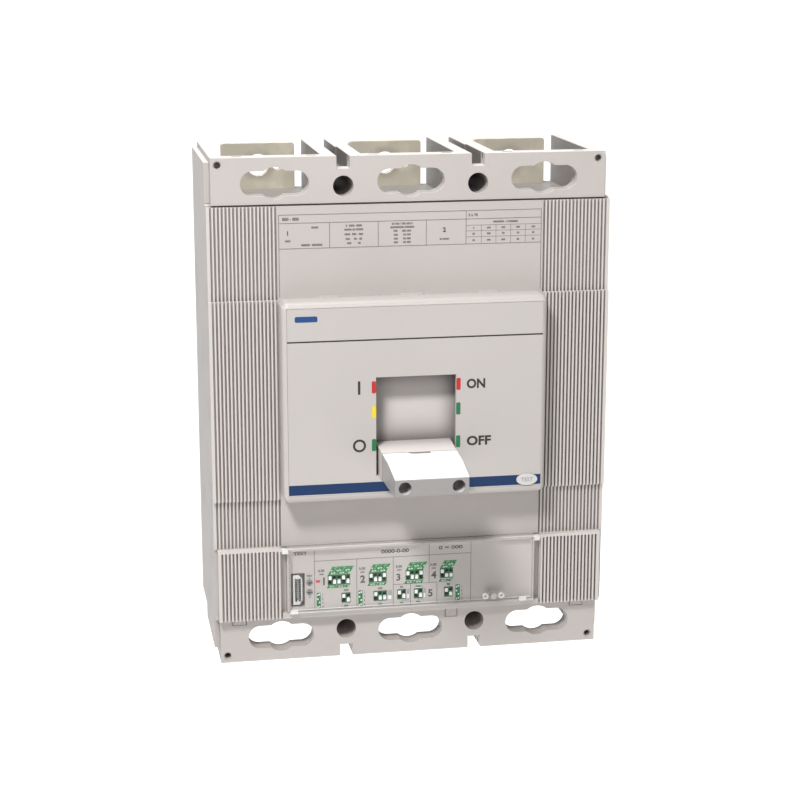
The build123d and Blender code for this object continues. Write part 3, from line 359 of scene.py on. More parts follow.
def plated(name, colour):
    """Warm matt tin over copper, duller in patches, with a worn ring about each bolt hole."""
    finish = Finish(name, metallic=0.55)
    x, _, z = finish.axes()
    from_pole = abs((x / MM + POLE_PITCH / 2) % POLE_PITCH - POLE_PITCH / 2)
    from_bolt = (from_pole ** 2.0 + (abs(z / MM) - BOLT_Z) ** 2.0) ** 0.5
    worn = finish.spread(from_bolt, 6.5, 11.0, 1.0, 0.0)
    lines = finish.cloud(1100, 2.0, 0.6, (1, 1, 0.05))
    patches = finish.spread(finish.cloud(60, 4.0, 0.6, seed=2.2), 0.4, 0.7)
    tone = finish.spread(lines * 0.4 + patches * 0.6, 0.25, 0.75)
    clean = finish.blend(tone, shade(colour, 0.93), shade(colour, 1.04))
    finish.set(base_color=finish.blend(worn * 0.45, clean, shade(colour, 0.72)),
               roughness=0.42 + patches * 0.12 - worn * 0.12)
    return finish.relief(lines, 0.00002, 0.4, 0.3 * MM).material


def resin(name, colour, rough=0.3):
    """Cast resin with a soft uneven skin."""
    finish = Finish(name, coat_weight=0.2, coat_roughness=0.2)
    skin = finish.cloud(90, 3.0, 0.55)
    tone = finish.spread(skin, 0.35, 0.65)
    finish.set(base_color=finish.blend(tone, shade(colour, 0.85), shade(colour, 1.2)),
               roughness=skin * 0.2 + rough)
    return finish.relief(skin, 0.0002, 0.5, 0.3 * MM).material


def fibre(name, colour):
    """Vulcanised fibre board: matt, with long faint fibres."""
    finish = Finish(name)
    strands = finish.cloud(500, 4.0, 0.65, (1, 1, 0.12))
    tone = finish.spread(strands, 0.3, 0.7)
    finish.set(base_color=finish.blend(tone, shade(colour, 0.8), shade(colour, 1.15)),
               roughness=strands * 0.15 + 0.7)
    return finish.relief(strands, 0.00008, 0.5).material


def circuit_board(name, colour):
    """Green solder resist with lighter copper tracks beneath it."""
    finish = Finish(name, coat_weight=0.3, coat_roughness=0.25)
    lane_pitch, lane_half = 2.6, 0.35
    z = finish.axes()[2]
    lanes = abs((z / MM) % lane_pitch - lane_pitch / 2) < lane_half
    breaks = finish.spread(finish.cloud(220, 1.0, 0.4, (1, 1, 0.3)), 0.5, 0.54)
    tracks = lanes * breaks
    finish.set(base_color=finish.blend(tracks, colour, (0.06, 0.32, 0.14)), roughness=0.45 - tracks * 0.1)
    return finish.relief(tracks, 0.00004, 0.6).material


LID_PROUD_Y = -94.3    # in front of this the lid's rim and clips stand proud
LID_SIDE_X = 66.4


def clear_sheet(name):
    """Clear polycarbonate: nearly unseen face on, with a painted highlight, whiter and more opaque, on its
    side faces and on its proud rim and clips.
    """
    finish = Finish(name, specular_IOR_level=0.6, IOR=1.58)
    facing_y = finish.facing()[1]
    x, y = finish.axes()[:2]
    # painted highlight: side faces, rim and clips are made whiter and more opaque
    proud = (y / MM < LID_PROUD_Y) | (abs(x / MM) > LID_SIDE_X)
    rim = finish.spread(abs(facing_y), 0.2, 0.9, 1.0, 0.0) | proud
    haze = finish.spread(finish.cloud(60, 3.0, 0.6), 0.4, 0.7)
    finish.set(base_color=finish.blend(rim, (0.88, 0.88, 0.87), (0.92, 0.91, 0.90)),
               alpha=0.012 + haze * 0.008 + rim * 0.62, roughness=0.06 + haze * 0.05)
    return finish.material


def print_ink(name, colour, rough=0.4):
    """Screen-printed ink with a slightly uneven coat."""
    finish = Finish(name)
    coat = finish.cloud(900, 2.0, 0.5)
    finish.set(base_color=finish.blend(coat, shade(colour, 0.9), shade(colour, 1.1)),
               roughness=coat * 0.15 + rough)
    return finish.material


BAND_HEIGHTS = (95.1, 100.5)
FILM_RULE_HEIGHT, FILM_RULE_HALF = 175.8, 0.4


def front_film_finish():
    """Polyester film of the escutcheon: satin grey, blue foot band, thin dark rule near the top."""
    finish = Finish("front_film", specular_IOR_level=0.45)
    height = finish.axes()[2] / MM - CASE_BOTTOM
    band = between(height, *BAND_HEIGHTS)
    rule = abs(height - FILM_RULE_HEIGHT) < FILM_RULE_HALF
    drift = finish.spread(finish.cloud(12, 2.0, 0.5), 0.35, 0.65)
    satin = finish.cloud(2200, 2.0, 0.6, seed=5.0)
    ground = finish.blend(drift, shade(FILM_GREY, 0.985), shade(FILM_GREY, 1.01))
    with_band = finish.blend(band, ground, BAND_BLUE)
    finish.set(base_color=finish.blend(rule, with_band, INK_BLACK), roughness=satin * 0.08 + 0.36)
    return finish.relief(satin, 0.00003, 0.4).material


BODY_GREY = (0.500, 0.462, 0.438)
FILM_GREY = (0.520, 0.485, 0.465)
HANDLE_GREY = (0.540, 0.505, 0.485)
CAP_WHITE = (0.66, 0.65, 0.64)
# The colour of the cap's sides below is painted shade, not a colour of the plastic.
CAP_SIDE_SHADE = (0.335, 0.322, 0.315)
BAND_BLUE = (0.002, 0.026, 0.100)
INK_BLACK = (0.030, 0.028, 0.028)
INK_GREY = (0.085, 0.081, 0.079)
SIGNAL_RED = (0.50, 0.022, 0.024)
SIGNAL_GREEN = (0.012, 0.170, 0.065)
SIGNAL_YELLOW = (0.80, 0.61, 0.035)
LEGEND_GREEN = (0.012, 0.190, 0.055)
LEGEND_WHITE = (0.80, 0.82, 0.80)

finishes = {
    "case_moulding": moulding("case_moulding", BODY_GREY, 0.46, 1.0, 0.12, depths=0.66, bays=0.34),
    "escutcheon": bezel_finish(shade(BODY_GREY, 1.03), shade(BODY_GREY, 0.70)),
    "handle_grey": moulding("handle_grey", HANDLE_GREY, 0.36, 0.6, 0.4),
    "handle_cap": cap_finish(CAP_WHITE, CAP_SIDE_SHADE),
    "button_plastic": moulding("button_plastic", (0.62, 0.61, 0.60), 0.33, 0.5, 0.3),
    "steel": brushed("steel", (0.50, 0.50, 0.51), 0.34, "Z"),
    "spring_steel": brushed("spring_steel", (0.42, 0.42, 0.43), 0.28, "Y"),
    "shaft_moulding": moulding("shaft_moulding", (0.045, 0.045, 0.05), 0.5, 1.5, 0.4),
    "copper": brushed("copper", (0.72, 0.34, 0.20), 0.36, "Z"),
    "terminal_plating": plated("terminal_plating", (0.66, 0.61, 0.50)),
    "coil_resin": resin("coil_resin", (0.035, 0.07, 0.19)),
    "chute_fibre": fibre("chute_fibre", (0.42, 0.17, 0.09)),
    "unit_moulding": moulding("unit_moulding", shade(BODY_GREY, 1.02), 0.44, 0.8, 0.12),
    "board": circuit_board("board", (0.008, 0.09, 0.03)),
    "switch_green": moulding("switch_green", (0.008, 0.115, 0.032), 0.35, 0.4, 0.15),
    "slider_white": moulding("slider_white", (0.86, 0.87, 0.86), 0.32, 0.3, 0.15),
    "socket_shell": moulding("socket_shell", (0.70, 0.70, 0.68), 0.34, 0.3, 0.2),
    "jack": brushed("jack", (0.34, 0.33, 0.32), 0.3, "Y", 0.15),
    "clear_lid": clear_sheet("clear_lid"),
}
slot_of_node = {row["node"]: row["material_slot"] for row in frame["record"]["subparts"]}
own_finish = {"toggle_shutter": shutter_finish(HANDLE_GREY), "toggle_lever": lever_finish(HANDLE_GREY)}


def paint_cad_nodes():
    """Each CAD node gets its own finish, or the one of its material slot."""
    for name, node in frame["nodes"].items():
        node.data.materials.clear()
        node.data.materials.append(own_finish.get(name) or finishes[slot_of_node[name]])


# ------------------------------------------------------------------ flat printed work
class Print:
    """Thin printed shapes that stand a hair proud of a face looking to -Y."""

    def __init__(self, face, thickness=0.05):
        self.back = -face
        self.front = -face - thickness
        self.corners = []
        self.faces = []
        self.inks = []
        self.materials = []

    def ink(self, material):
        """The material's number on this sheet."""
        if material not in self.materials:
            self.materials.append(material)
        return self.materials.index(material)

    def prism(self, outline, material):
        """Closed prism from an outline that runs anticlockwise as seen from the front."""
        start = len(self.corners)
        count = len(outline)
        self.corners += [(x, self.front, z) for x, z in outline] + [(x, self.back, z) for x, z in outline]
        faces = [tuple(range(start, start + count)),
                 tuple(range(start + 2 * count - 1, start + count - 1, -1))]
        for i in range(count):
            j = (i + 1) % count
            faces.append((start + j, start + i, start + count + i, start + count + j))
        self.faces += faces
        self.inks += [self.ink(material)] * len(faces)

    def bar(self, x0, x1, z0, z1, material):
        self.prism([(x0, z0), (x1, z0), (x1, z1), (x0, z1)], material)

    def upright(self, x, z0, z1, width, material):
        """Vertical rule centred on x."""
        self.bar(x - width / 2, x + width / 2, z0, z1, material)

    def level(self, x0, x1, z, width, material):
        """Horizontal rule centred on z."""
        self.bar(x0, x1, z - width / 2, z + width / 2, material)

    def ring(self, x, z, radius, width, material, sides=40):
        """Ring of a given middle radius, one closed block to a side."""
        for i in range(sides):
            a, b = 2 * math.pi * i / sides, 2 * math.pi * (i + 1) / sides
            inner, outer = radius - width / 2, radius + width / 2
            self.prism([(x + inner * math.cos(a), z + inner * math.sin(a)),
                        (x + outer * math.cos(a), z + outer * math.sin(a)),
                        (x + outer * math.cos(b), z + outer * math.sin(b)),
                        (x + inner * math.cos(b), z + inner * math.sin(b))], material)

    def rounded(self, x0, x1, z0, z1, radius, material, steps=5):
        """Rectangle with rounded corners."""
        outline = []
        for cx, cz, first in ((x1 - radius, z1 - radius, 0), (x0 + radius, z1 - radius, 90),
                              (x0 + radius, z0 + radius, 180), (x1 - radius, z0 + radius, 270)):
            for i in range(steps + 1):
                a = math.radians(first + 90 * i / steps)
                outline.append((cx + radius * math.cos(a), cz + radius * math.sin(a)))
        self.prism(outline, material)

    def text(self, words, x, z, height, material, width=None, align="CENTER", weight=0.0):
        """Plain characters, centred on z, as a closed solid."""
        curve = bpy.data.curves.new("characters", "FONT")
        curve.body = words
        curve.align_x = align
        curve.resolution_u = 3
        curve.extrude = 0.5
        curve.offset = weight
        carrier = bpy.data.objects.new("characters", curve)
        bpy.context.scene.collection.objects.link(carrier)
        bpy.context.view_layer.update()
        mesh = bpy.data.meshes.new_from_object(carrier.evaluated_get(bpy.context.evaluated_depsgraph_get()))
        xs = [v.co.x for v in mesh.vertices]
        ys = [v.co.y for v in mesh.vertices]
        tall = height / max(max(ys) - min(ys), 1e-9)
        wide = width / (max(xs) - min(xs)) if width else tall
        middle = (max(ys) + min(ys)) / 2
        start = len(self.corners)
        for v in mesh.vertices:
            depth = self.front if v.co.z > 0 else self.back
            self.corners.append((x + v.co.x * wide, depth, z + (v.co.y - middle) * tall))
        ink = self.ink(material)
        for polygon in mesh.polygons:
            self.faces.append(tuple(start + v for v in polygon.vertices))
            self.inks.append(ink)
        bpy.data.objects.remove(carrier)
        bpy.data.curves.remove(curve)
        bpy.data.meshes.remove(mesh)

    def make(self, name, body, slot):
        """Make the piece and say which body it rides on."""
        mesh = bpy.data.meshes.new(name)
        mesh.from_pydata([(x * MM, y * MM, z * MM) for x, y, z in self.corners], [], self.faces)
        for material in self.materials:
            mesh.materials.append(material)
        mesh.polygons.foreach_set("material_index", self.inks)
        mesh.update()
        piece = bpy.data.objects.new(name, mesh)
        bpy.context.scene.collection.objects.link(piece)
        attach(piece, body)


inks = {
    "black": print_ink("ink_black", INK_BLACK),
    "grey": print_ink("ink_grey", INK_GREY),
    "rule_grey": print_ink("ink_rule_grey", (0.19, 0.183, 0.178)),
    "pale": print_ink("ink_pale_grey", (0.30, 0.288, 0.28)),
    "shade_grey": print_ink("ink_shade_grey", (0.33, 0.34, 0.35)),
    "legend_pale": print_ink("ink_pale_green", (0.28, 0.60, 0.30)),
    "legend_mid": print_ink("ink_mid_green", (0.045, 0.42, 0.13)),
    "red": print_ink("ink_red", SIGNAL_RED),
    "green": print_ink("ink_green", SIGNAL_GREEN),
    "yellow": print_ink("ink_yellow", SIGNAL_YELLOW),
    "legend_green": print_ink("ink_legend_green", LEGEND_GREEN),
    "legend_white": print_ink("ink_legend_white", LEGEND_WHITE),
    "blue": print_ink("ink_blue", (0.012, 0.06, 0.21)),
}


# ------------------------------------------------------------------ escutcheon film and its marks
# Depths of the printed faces in front of the mounting face, in millimetres.
FILM_BED, FILM_THICK = 103.21, 0.24
MARKS_FACE = FILM_BED + FILM_THICK
BUTTON_FACE = 104.1
LABEL_FACE = 89.0
UNIT_FACE = 91.0
INK_THICK = 0.04
BOLD, REGULAR, LIGHT = 0.035, 0.03, 0.01    # how much letters are thickened
RULE_WIDTH = 0.34

FILM_HALF_WIDTH, FILM_HEIGHTS = 66.6, (94.5, 192.9)
WINDOW_HALF_WIDTH, WINDOW_HEIGHTS = 21.0, (103.8, 156.1)
BUTTON_X, BUTTON_HEIGHT = 59.2, 98.0
BUTTON_HOLE = (5.75, 3.2)    # half width, half height
CORNER = 0.6


def front_film():
    """Film bedded in the escutcheon's recess, cut out for the window and the button."""
    film = Print(FILM_BED, FILM_THICK)
    material = front_film_finish()
    x, (z0, z1) = FILM_HALF_WIDTH, map(h, FILM_HEIGHTS)
    wx, (w0, w1) = WINDOW_HALF_WIDTH, map(h, WINDOW_HEIGHTS)
    film.rounded(-x, -wx, z0, z1, CORNER, material)
    film.bar(-wx, wx, z0, w0, material)
    film.bar(-wx, wx, w1, z1, material)
    half_wide, half_tall = BUTTON_HOLE
    left, right, middle, sides = BUTTON_X - half_wide, BUTTON_X + half_wide, h(BUTTON_HEIGHT), 48
    hole = []
    for i in range(sides + 1):
        a = math.pi + math.pi * 2 * i / sides
        hole.append((BUTTON_X + half_wide * math.cos(a), middle + half_tall * math.sin(a)))
    film.bar(wx, left, z0, z1, material)
    film.bar(right, x, z0, z1, material)
    film.prism([(left, z0), (right, z0)] + hole[:sides // 2 + 1][::-1], material)
    film.prism([(right, z1), (left, z1)] + hole[sides // 2:][::-1], material)
    film.make("front_film", "case", "escutcheon")


TAB_X, TAB_HALF_HEIGHT = (21.05, 23.3), 3.2
TABS = ((150.95, "red", "red"), (137.9, "yellow", "green"), (120.3, "green", "green"))


def front_marks():
    """ON, OFF, I, O, the colour tabs, a plain blue patch and the button's word."""
    marks = Print(MARKS_FACE, INK_THICK)
    black = inks["black"]
    marks.text("ON", 31.5, h(150.9), 5.2, black, 9.8, weight=BOLD)
    marks.text("OFF", 33.15, h(120.3), 5.2, black, 12.9, weight=BOLD)
    marks.bar(-30.45, -29.2, h(147.4), h(154.4), black)
    marks.ring(-29.8, h(120.2), 2.85, 1.15, black)
    inner, outer = TAB_X
    for height, left, right in TABS:
        z0, z1 = h(height - TAB_HALF_HEIGHT), h(height + TAB_HALF_HEIGHT)
        marks.rounded(-outer, -inner, z0, z1, CORNER, inks[left])
        marks.rounded(inner, outer, z0, z1, CORNER, inks[right])
    marks.rounded(-62.6, -51.0, h(186.0), h(189.0), 0.8, inks["blue"])
    marks.make("front_marks", "case", "escutcheon")
    word = Print(BUTTON_FACE, 0.05)
    word.text("TEST", BUTTON_X, h(BUTTON_HEIGHT), 2.1, inks["pale"], 6.6, weight=LIGHT)
    word.make("test_button_word", "test_button", "button_plastic")


# ------------------------------------------------------------------ rating label
LABEL_HALF_WIDTH = 68.4
LABEL_FOOT, LABEL_HEAD_RULE, LABEL_TOP = 221.5, 234.5, 238.8
SIDE_RULE_FOOT = 196.6
COLUMN_RULES = (-42.4, -17.3, 7.7)
TABLE_LEFT = 28.6
TABLE_RULE_HEIGHTS, TABLE_RULE_X = (231.2, 228.3, 225.2), (36.7, 44.4, 52.2, 60.0)
TABLE_CELL_X = (32.6, 40.6, 48.3, 56.1, 64.2)
TABLE_ROWS = ((229.75, ("0", "000", "000", "000", "000")), (226.75, ("00", "000", "00", "00", "00")),
              (223.4, ("00", "000", "000", "00", "00")))
# words, x, height above the foot of the case, letter height, alignment
LABEL_WORDS = (
    ("000 - 000", -66.6, 236.6, 1.7, "LEFT"), ("3 x 70", 29.8, 236.5, 1.5, "LEFT"),
    ("00000", -50.0, 232.1, 1.1, "CENTER"), ("0000", -63.9, 225.4, 1.1, "CENTER"),
    ("000000  0000000", -51.6, 223.2, 1.2, "CENTER"),
    ("3  0000  0000", -29.9, 232.6, 1.15, "CENTER"), ("00000 00 00000", -29.9, 230.6, 1.15, "CENTER"),
    ("0000  000 - 000", -29.9, 228.2, 1.15, "CENTER"), ("000     00 - 00", -29.9, 225.8, 1.15, "CENTER"),
    ("000        00", -29.9, 223.6, 1.15, "CENTER"),
    ("00 000 / 000 000 0", -4.8, 233.0, 1.1, "CENTER"), ("0000000000 0000000", -4.8, 231.2, 1.1, "CENTER"),
    ("000      000 000", -4.8, 229.3, 1.1, "CENTER"), ("000       00 000", -4.8, 227.3, 1.1, "CENTER"),
    ("000       00 000", -4.8, 225.3, 1.1, "CENTER"), ("000       00 000", -4.8, 223.4, 1.1, "CENTER"),
    ("00 00000", 17.2, 224.5, 1.0, "CENTER"), ("00000000 - 0 0000000", 49.4, 232.8, 1.1, "CENTER"),
)


def rating_label():
    """Framed table of plain numbers and rules printed on the upper cover."""
    label = Print(LABEL_FACE, INK_THICK)
    line, soft = inks["rule_grey"], inks["grey"]
    x0, x1 = -LABEL_HALF_WIDTH, LABEL_HALF_WIDTH
    foot, head, top = h(LABEL_FOOT), h(LABEL_HEAD_RULE), h(LABEL_TOP)
    for z in (foot, head, top):
        label.level(x0, x1, z, RULE_WIDTH, line)
    for x in (x0, x1):
        label.upright(x, h(SIDE_RULE_FOOT), top, RULE_WIDTH, line)
    for x in COLUMN_RULES:
        label.upright(x, foot, head, RULE_WIDTH, line)
    label.upright(TABLE_LEFT, foot, top, RULE_WIDTH, line)
    thin = RULE_WIDTH * 2 / 3
    for height in TABLE_RULE_HEIGHTS:
        label.level(TABLE_LEFT, x1, h(height), thin, line)
    for x in TABLE_RULE_X:
        label.upright(x, foot, h(TABLE_RULE_HEIGHTS[0]), thin, line)
    for words, x, height, tall, align in LABEL_WORDS:
        label.text(words, x, h(height), tall, soft, align=align, weight=BOLD)
    for number, x, height, tall in (("1", -63.9, 229.4, 2.4), ("2", 17.2, 229.3, 2.5)):
        label.text(number, x, h(height), tall, soft, weight=0.04)
    for height, cells in TABLE_ROWS:
        for x, words in zip(TABLE_CELL_X, cells):
            label.text(words, x, h(height), 1.05, soft, weight=BOLD)
    label.make("rating_label", "case", "case_moulding")


# ------------------------------------------------------------------ trip unit face
def leaning_cell(sheet, x0, x1, z0, z1, foot, slant, ink):
    """Upright-sided cell sheared by a slant per millimetre of height above the foot."""
    low, high = (z0 - foot) * slant, (z1 - foot) * slant
    sheet.prism([(x0 + low, z0), (x1 + low, z0), (x1 + high, z1), (x0 + high, z1)], ink)


def bank_chart(green, light, white, x0, x1, columns, z0, z1, rows, slant):
    """Slanted chart of a switch bank: one leaning strip to a column, cells staggered down it."""
    step = (x1 - x0) / columns
    tall = (z1 - z0) / rows
    for c in range(columns):
        left = x0 + step * c
        leaning_cell(green, left + 0.05, left + step - 0.22, z0, z1, z0, slant, inks["legend_green"])
        for r in range(rows):
            low = z0 + tall * r
            share = 0.12 if (r + c) % 2 else 0.46
            a, b = left + step * share, left + step * (share + 0.40)
            ink = inks["legend_pale"] if r < rows - 1 else inks["legend_mid"]
            leaning_cell(light, a, b, low + tall * 0.22, low + tall * 0.78, z0, slant, ink)
            if r < rows / 2:
                leaning_cell(white, a + 0.2, b - 0.2, low + tall * 0.36, low + tall * 0.64, z0, slant,
                             inks["legend_white"])


def time_chart(green, light, x0, x1, z0, z1):
    """Upright chart of four rows, its white marks staggered left and right."""
    green.bar(x0, x1, z0, z1, inks["legend_green"])
    pitch = (z1 - z0) / 4
    middle = (x0 + x1) / 2
    for i in range(4):
        low = z0 + pitch * i
        for k, marked in enumerate(((True, True), (False, True), (True, False), (True, True))[i]):
            a = (x0 + 0.28) if k == 0 else (middle + 0.10)
            shift = 0.22 if k else -0.10
            if marked:
                light.bar(a, a + 0.72, low + pitch * 0.30 + shift, low + pitch * 0.68 + shift,
                          inks["legend_white"])


# x, foot and head of each upright rule
UNIT_RULES = ((-52.3, 27.5, 61.4), (-29.7, 27.5, 55.0), (-10.0, 27.5, 55.0), (9.5, 39.6, 61.4),
              (32.3, 27.5, 61.4), (13.8, 27.5, 39.2), (-0.6, 27.5, 39.2))
UNIT_LEVEL_RULES = ((-52.3, 32.3, 54.9), (-10.2, 13.8, 39.4))
# words, x, height, letter height, width or None, thickening
UNIT_WORDS = (
    ("1", -47.3, 43.5, 4.2, None, REGULAR), ("2", -26.5, 43.5, 4.2, None, REGULAR),
    ("3", -7.2, 43.4, 4.0, None, REGULAR), ("4", 12.1, 43.6, 4.2, None, REGULAR),
    ("5", 10.2, 33.5, 4.2, None, REGULAR), ("0000-0-00", -9.0, 58.2, 2.2, 15.0, BOLD),
    ("0 = 000", 21.2, 58.6, 2.0, 13.0, REGULAR), ("TEST", -59.8, 59.6, 1.8, 7.4, REGULAR),
    ("TEST", -55.0, 46.9, 1.1, 3.2, REGULAR),
)
JACK_SIGNS = ((-55.5, -54.5, 45.55, 45.75), (-55.5, -54.5, 34.95, 35.15), (-55.1, -54.9, 34.55, 35.55))
BANK_CHARTS = ((-45.1, -33.4, 5), (-23.2, -13.6, 4), (-3.3, 6.3, 4), (15.4, 22.6, 3))    # x, x, columns
TIME_CHARTS = ((-51.3, -49.1, 28.2), (-28.9, -26.6, 28.2), (23.9, 26.4, 28.4))    # x, x, foot
TIME_CHART_TALL = 9.0
BANK_WORDS = ((-35.5, 29.2, 37.9, "000"), (-17.1, 29.0, 37.8, "000"), (-5.5, 29.0, 37.8, "00"),
              (3.6, 29.0, 37.6, "000"), (20.1, 37.9, 37.9, "00"))
KEY_BLOCKS = ((-13.1, -10.7, 31.0, 36.3), (-2.7, -1.2, 31.0, 36.6), (6.4, 7.6, 31.0, 36.5),
              (1.6, 6.4, 36.6, 38.1), (-5.4, -1.4, 29.3, 30.6), (3.2, 6.4, 29.3, 30.7))


def trip_unit_print():
    """Rules, bank numbers and charts printed on the trip unit's face."""
    face = Print(UNIT_FACE, INK_THICK)
    cells, marks = Print(UNIT_FACE + 0.04, 0.03), Print(UNIT_FACE + 0.07, 0.02)
    rule, soft = inks["rule_grey"], inks["grey"]
    for x, low, high in UNIT_RULES:
        face.upright(x, h(low), h(high), RULE_WIDTH, rule)
    for x0, x1, height in UNIT_LEVEL_RULES:
        face.level(x0, x1, h(height), RULE_WIDTH, rule)
    for words, x, height, tall, width, weight in UNIT_WORDS:
        face.text(words, x, h(height), tall, soft, width, weight=weight)
    for x0, x1, low, high in JACK_SIGNS:
        face.bar(x0, x1, h(low), h(high), inks["black"])
    for x0, x1, columns in BANK_CHARTS:
        bank_chart(face, cells, marks, x0, x1, columns, h(47.05), h(51.3), 3, 0.56)
        bank_chart(face, cells, marks, x0 - 0.9, x1 - 0.6, columns, h(39.5), h(40.95), 1, 0.62)
        face.text("0.00", x0 - 3.6, h(49.4), 1.5, soft, weight=REGULAR)
        face.text("0000", x0 - 3.4, h(47.4), 0.9, soft, weight=REGULAR)
    for x0, x1, low in TIME_CHARTS:
        time_chart(face, cells, x0, x1, h(low), h(low + TIME_CHART_TALL))
        for i, number in enumerate(("4", "3", "2", "1")):
            middle = low + TIME_CHART_TALL / 4 * (i + 0.5)
            face.text(number, x1 + 0.7, h(middle), 1.1, soft, align="LEFT", weight=REGULAR)
    for x, low, high, words in BANK_WORDS:
        face.text(words, x, h(low), 1.1, soft, weight=REGULAR)
        face.text(words, x, h(high), 1.3, soft, weight=REGULAR)
    for x0, x1, low, high in KEY_BLOCKS:
        face.bar(x0, x1, h(low), h(high), inks["shade_grey"])
        cells.bar(x0 + 0.25, x1 - 0.25, h(low + 0.3), h((low + high) / 2 - 0.15), inks["legend_white"])
    face.make("trip_unit_print", "case", "unit_moulding")
    cells.make("trip_chart_cells", "case", "unit_moulding")
    marks.make("trip_chart_marks", "case", "unit_moulding")


LENS_X, LENS_HEIGHT, LENS_HALF_WIDTH, LENS_HALF_HEIGHT = -50.5, 43.6, 1.1, 0.6


def trip_lens():
    """Red indicator lens let into the trip unit's face, with a faint painted glow."""
    lens = Print(UNIT_FACE - 1.0, 1.25)
    # The lens glows faintly though nothing lights it: a painted glow.
    red = Finish("red_lens", coat_weight=0.6, coat_roughness=0.08, emission_strength=0.15,
                 emission_color=(0.8, 0.02, 0.02))
    glow = red.cloud(900, 2.0, 0.5)
    red.set(base_color=red.blend(glow, (0.50, 0.012, 0.018), (0.72, 0.03, 0.03)),
            roughness=0.15 + glow * 0.1)
    lens.rounded(LENS_X - LENS_HALF_WIDTH, LENS_X + LENS_HALF_WIDTH, h(LENS_HEIGHT - LENS_HALF_HEIGHT),
                 h(LENS_HEIGHT + LENS_HALF_HEIGHT), 0.25, red.material)
    lens.make("trip_lens", "case", "unit_moulding")


# ------------------------------------------------------------------ repeated pieces from node trees
class Tree:
    """A Geometry Nodes tree with named inputs."""

    def __init__(self, name, **sizes):
        self.group = bpy.data.node_groups.new(name, "GeometryNodeTree")
        self.group.interface.new_socket("Geometry", in_out="OUTPUT", socket_type="NodeSocketGeometry")
        self.identifiers = {}
        self.sizes = sizes
        for key, value in sizes.items():
            kind = {int: "NodeSocketInt", float: "NodeSocketFloat"}.get(type(value), "NodeSocketVector")
            socket = self.group.interface.new_socket(key, in_out="INPUT", socket_type=kind)
            self.identifiers[key] = socket.identifier
        self.entry = self.group.nodes.new("NodeGroupInput")
        self.exit = self.group.nodes.new("NodeGroupOutput")

    def size(self, key):
        """The socket of a named input."""
        return self.entry.outputs[key]

    def node(self, kind, settings=None, inputs=None, output=0):
        node = self.group.nodes.new(kind)
        for key, value in (settings or {}).items():
            setattr(node, key, value)
        for key, value in (inputs or {}).items():
            if isinstance(value, bpy.types.NodeSocket):
                self.group.links.new(value, node.inputs[key])
            else:
                node.inputs[key].default_value = value
        return node.outputs[output]

    def build(self, name, geometry, material, place=Matrix()):
        """Realise the tree as a plain mesh, moved to its place."""
        real = self.node("GeometryNodeRealizeInstances", inputs={0: geometry})
        done = self.node("GeometryNodeSetMaterial", inputs={0: real, "Material": material})
        self.group.links.new(done, self.exit.inputs[0])
        carrier = bpy.data.objects.new(name + "_carrier", bpy.data.meshes.new(name + "_carrier"))
        bpy.context.scene.collection.objects.link(carrier)
        modifier = carrier.modifiers.new("shape", "NODES")
        modifier.node_group = self.group
        for key, value in self.sizes.items():
            modifier[self.identifiers[key]] = value
        bpy.context.view_layer.update()
        mesh = bpy.data.meshes.new_from_object(carrier.evaluated_get(bpy.context.evaluated_depsgraph_get()))
        bpy.data.objects.remove(carrier)
        mesh.transform(place)
        piece = bpy.data.objects.new(name, mesh)
        bpy.context.scene.collection.objects.link(piece)
        return piece


def coil(name, start, end, radius, wire, turns, material):
    """Round-wire spring between two points, with capped wire ends."""
    axis = Vector(end) - Vector(start)
    tree = Tree(name + "_tree", Turns=float(turns), Radius=float(radius), Wire=float(wire),
                Length=axis.length)
    spiral = tree.node("GeometryNodeCurveSpiral",
                       inputs={"Resolution": 20, "Rotations": tree.size("Turns"),
                               "Start Radius": tree.size("Radius"), "End Radius": tree.size("Radius"),
                               "Height": tree.size("Length")})
    ring = tree.node("GeometryNodeCurvePrimitiveCircle",
                     inputs={"Resolution": 8, "Radius": tree.size("Wire")})
    tube = tree.node("GeometryNodeCurveToMesh",
                     inputs={"Curve": spiral, "Profile Curve": ring, "Fill Caps": True})
    smooth = tree.node("GeometryNodeSetShadeSmooth", inputs={0: tube})
    turn = axis.to_track_quat("Z", "Y").to_matrix().to_4x4()
    return tree.build(name, smooth, material, Matrix.Translation(start) @ turn)


def button_coil():
    """Helical spring in place of the CAD's tube."""
    low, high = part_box("button_spring")
    x, z = (low[0] + high[0]) / 2, (low[2] + high[2]) / 2
    wire = 0.0005
    radius = (high[0] - low[0]) / 2 - wire
    piece = coil("button_coil", (x, high[1] - wire, z), (x, low[1] + wire, z), radius, wire, 4.5,
                 finishes["spring_steel"])
    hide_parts("button_spring")
    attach(piece, "case")
    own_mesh(piece)


def contact_rows():
    """Contacts of the test socket in two rows."""
    low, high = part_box("test_connector")
    x, z = (low[0] + high[0]) / 2, (low[2] + high[2]) / 2
    tree = Tree("contact_row_tree", Columns=2, Rows=10, Width=0.0022, Height=0.0116,
                Contact=(0.0009, 0.0012, 0.00065))
    grid = tree.node("GeometryNodeMeshGrid",
                     inputs={"Size X": tree.size("Width"), "Size Y": tree.size("Height"),
                             "Vertices X": tree.size("Columns"), "Vertices Y": tree.size("Rows")})
    upright = tree.node("GeometryNodeTransform", inputs={0: grid, "Rotation": (math.pi / 2, 0, 0)})
    pin = tree.node("GeometryNodeMeshCube", inputs={"Size": tree.size("Contact")})
    pins = tree.node("GeometryNodeInstanceOnPoints", inputs={"Points": upright, "Instance": pin})
    # Near-black blocks: painted shade of the openings that the contacts sit in.
    dark = moulding("socket_contact", (0.03, 0.03, 0.03), 0.4, 0.3, 0.05)
    piece = tree.build("socket_contacts", pins, dark, Matrix.Translation((x, low[1] - 0.0001, z)))
    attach(piece, "case")


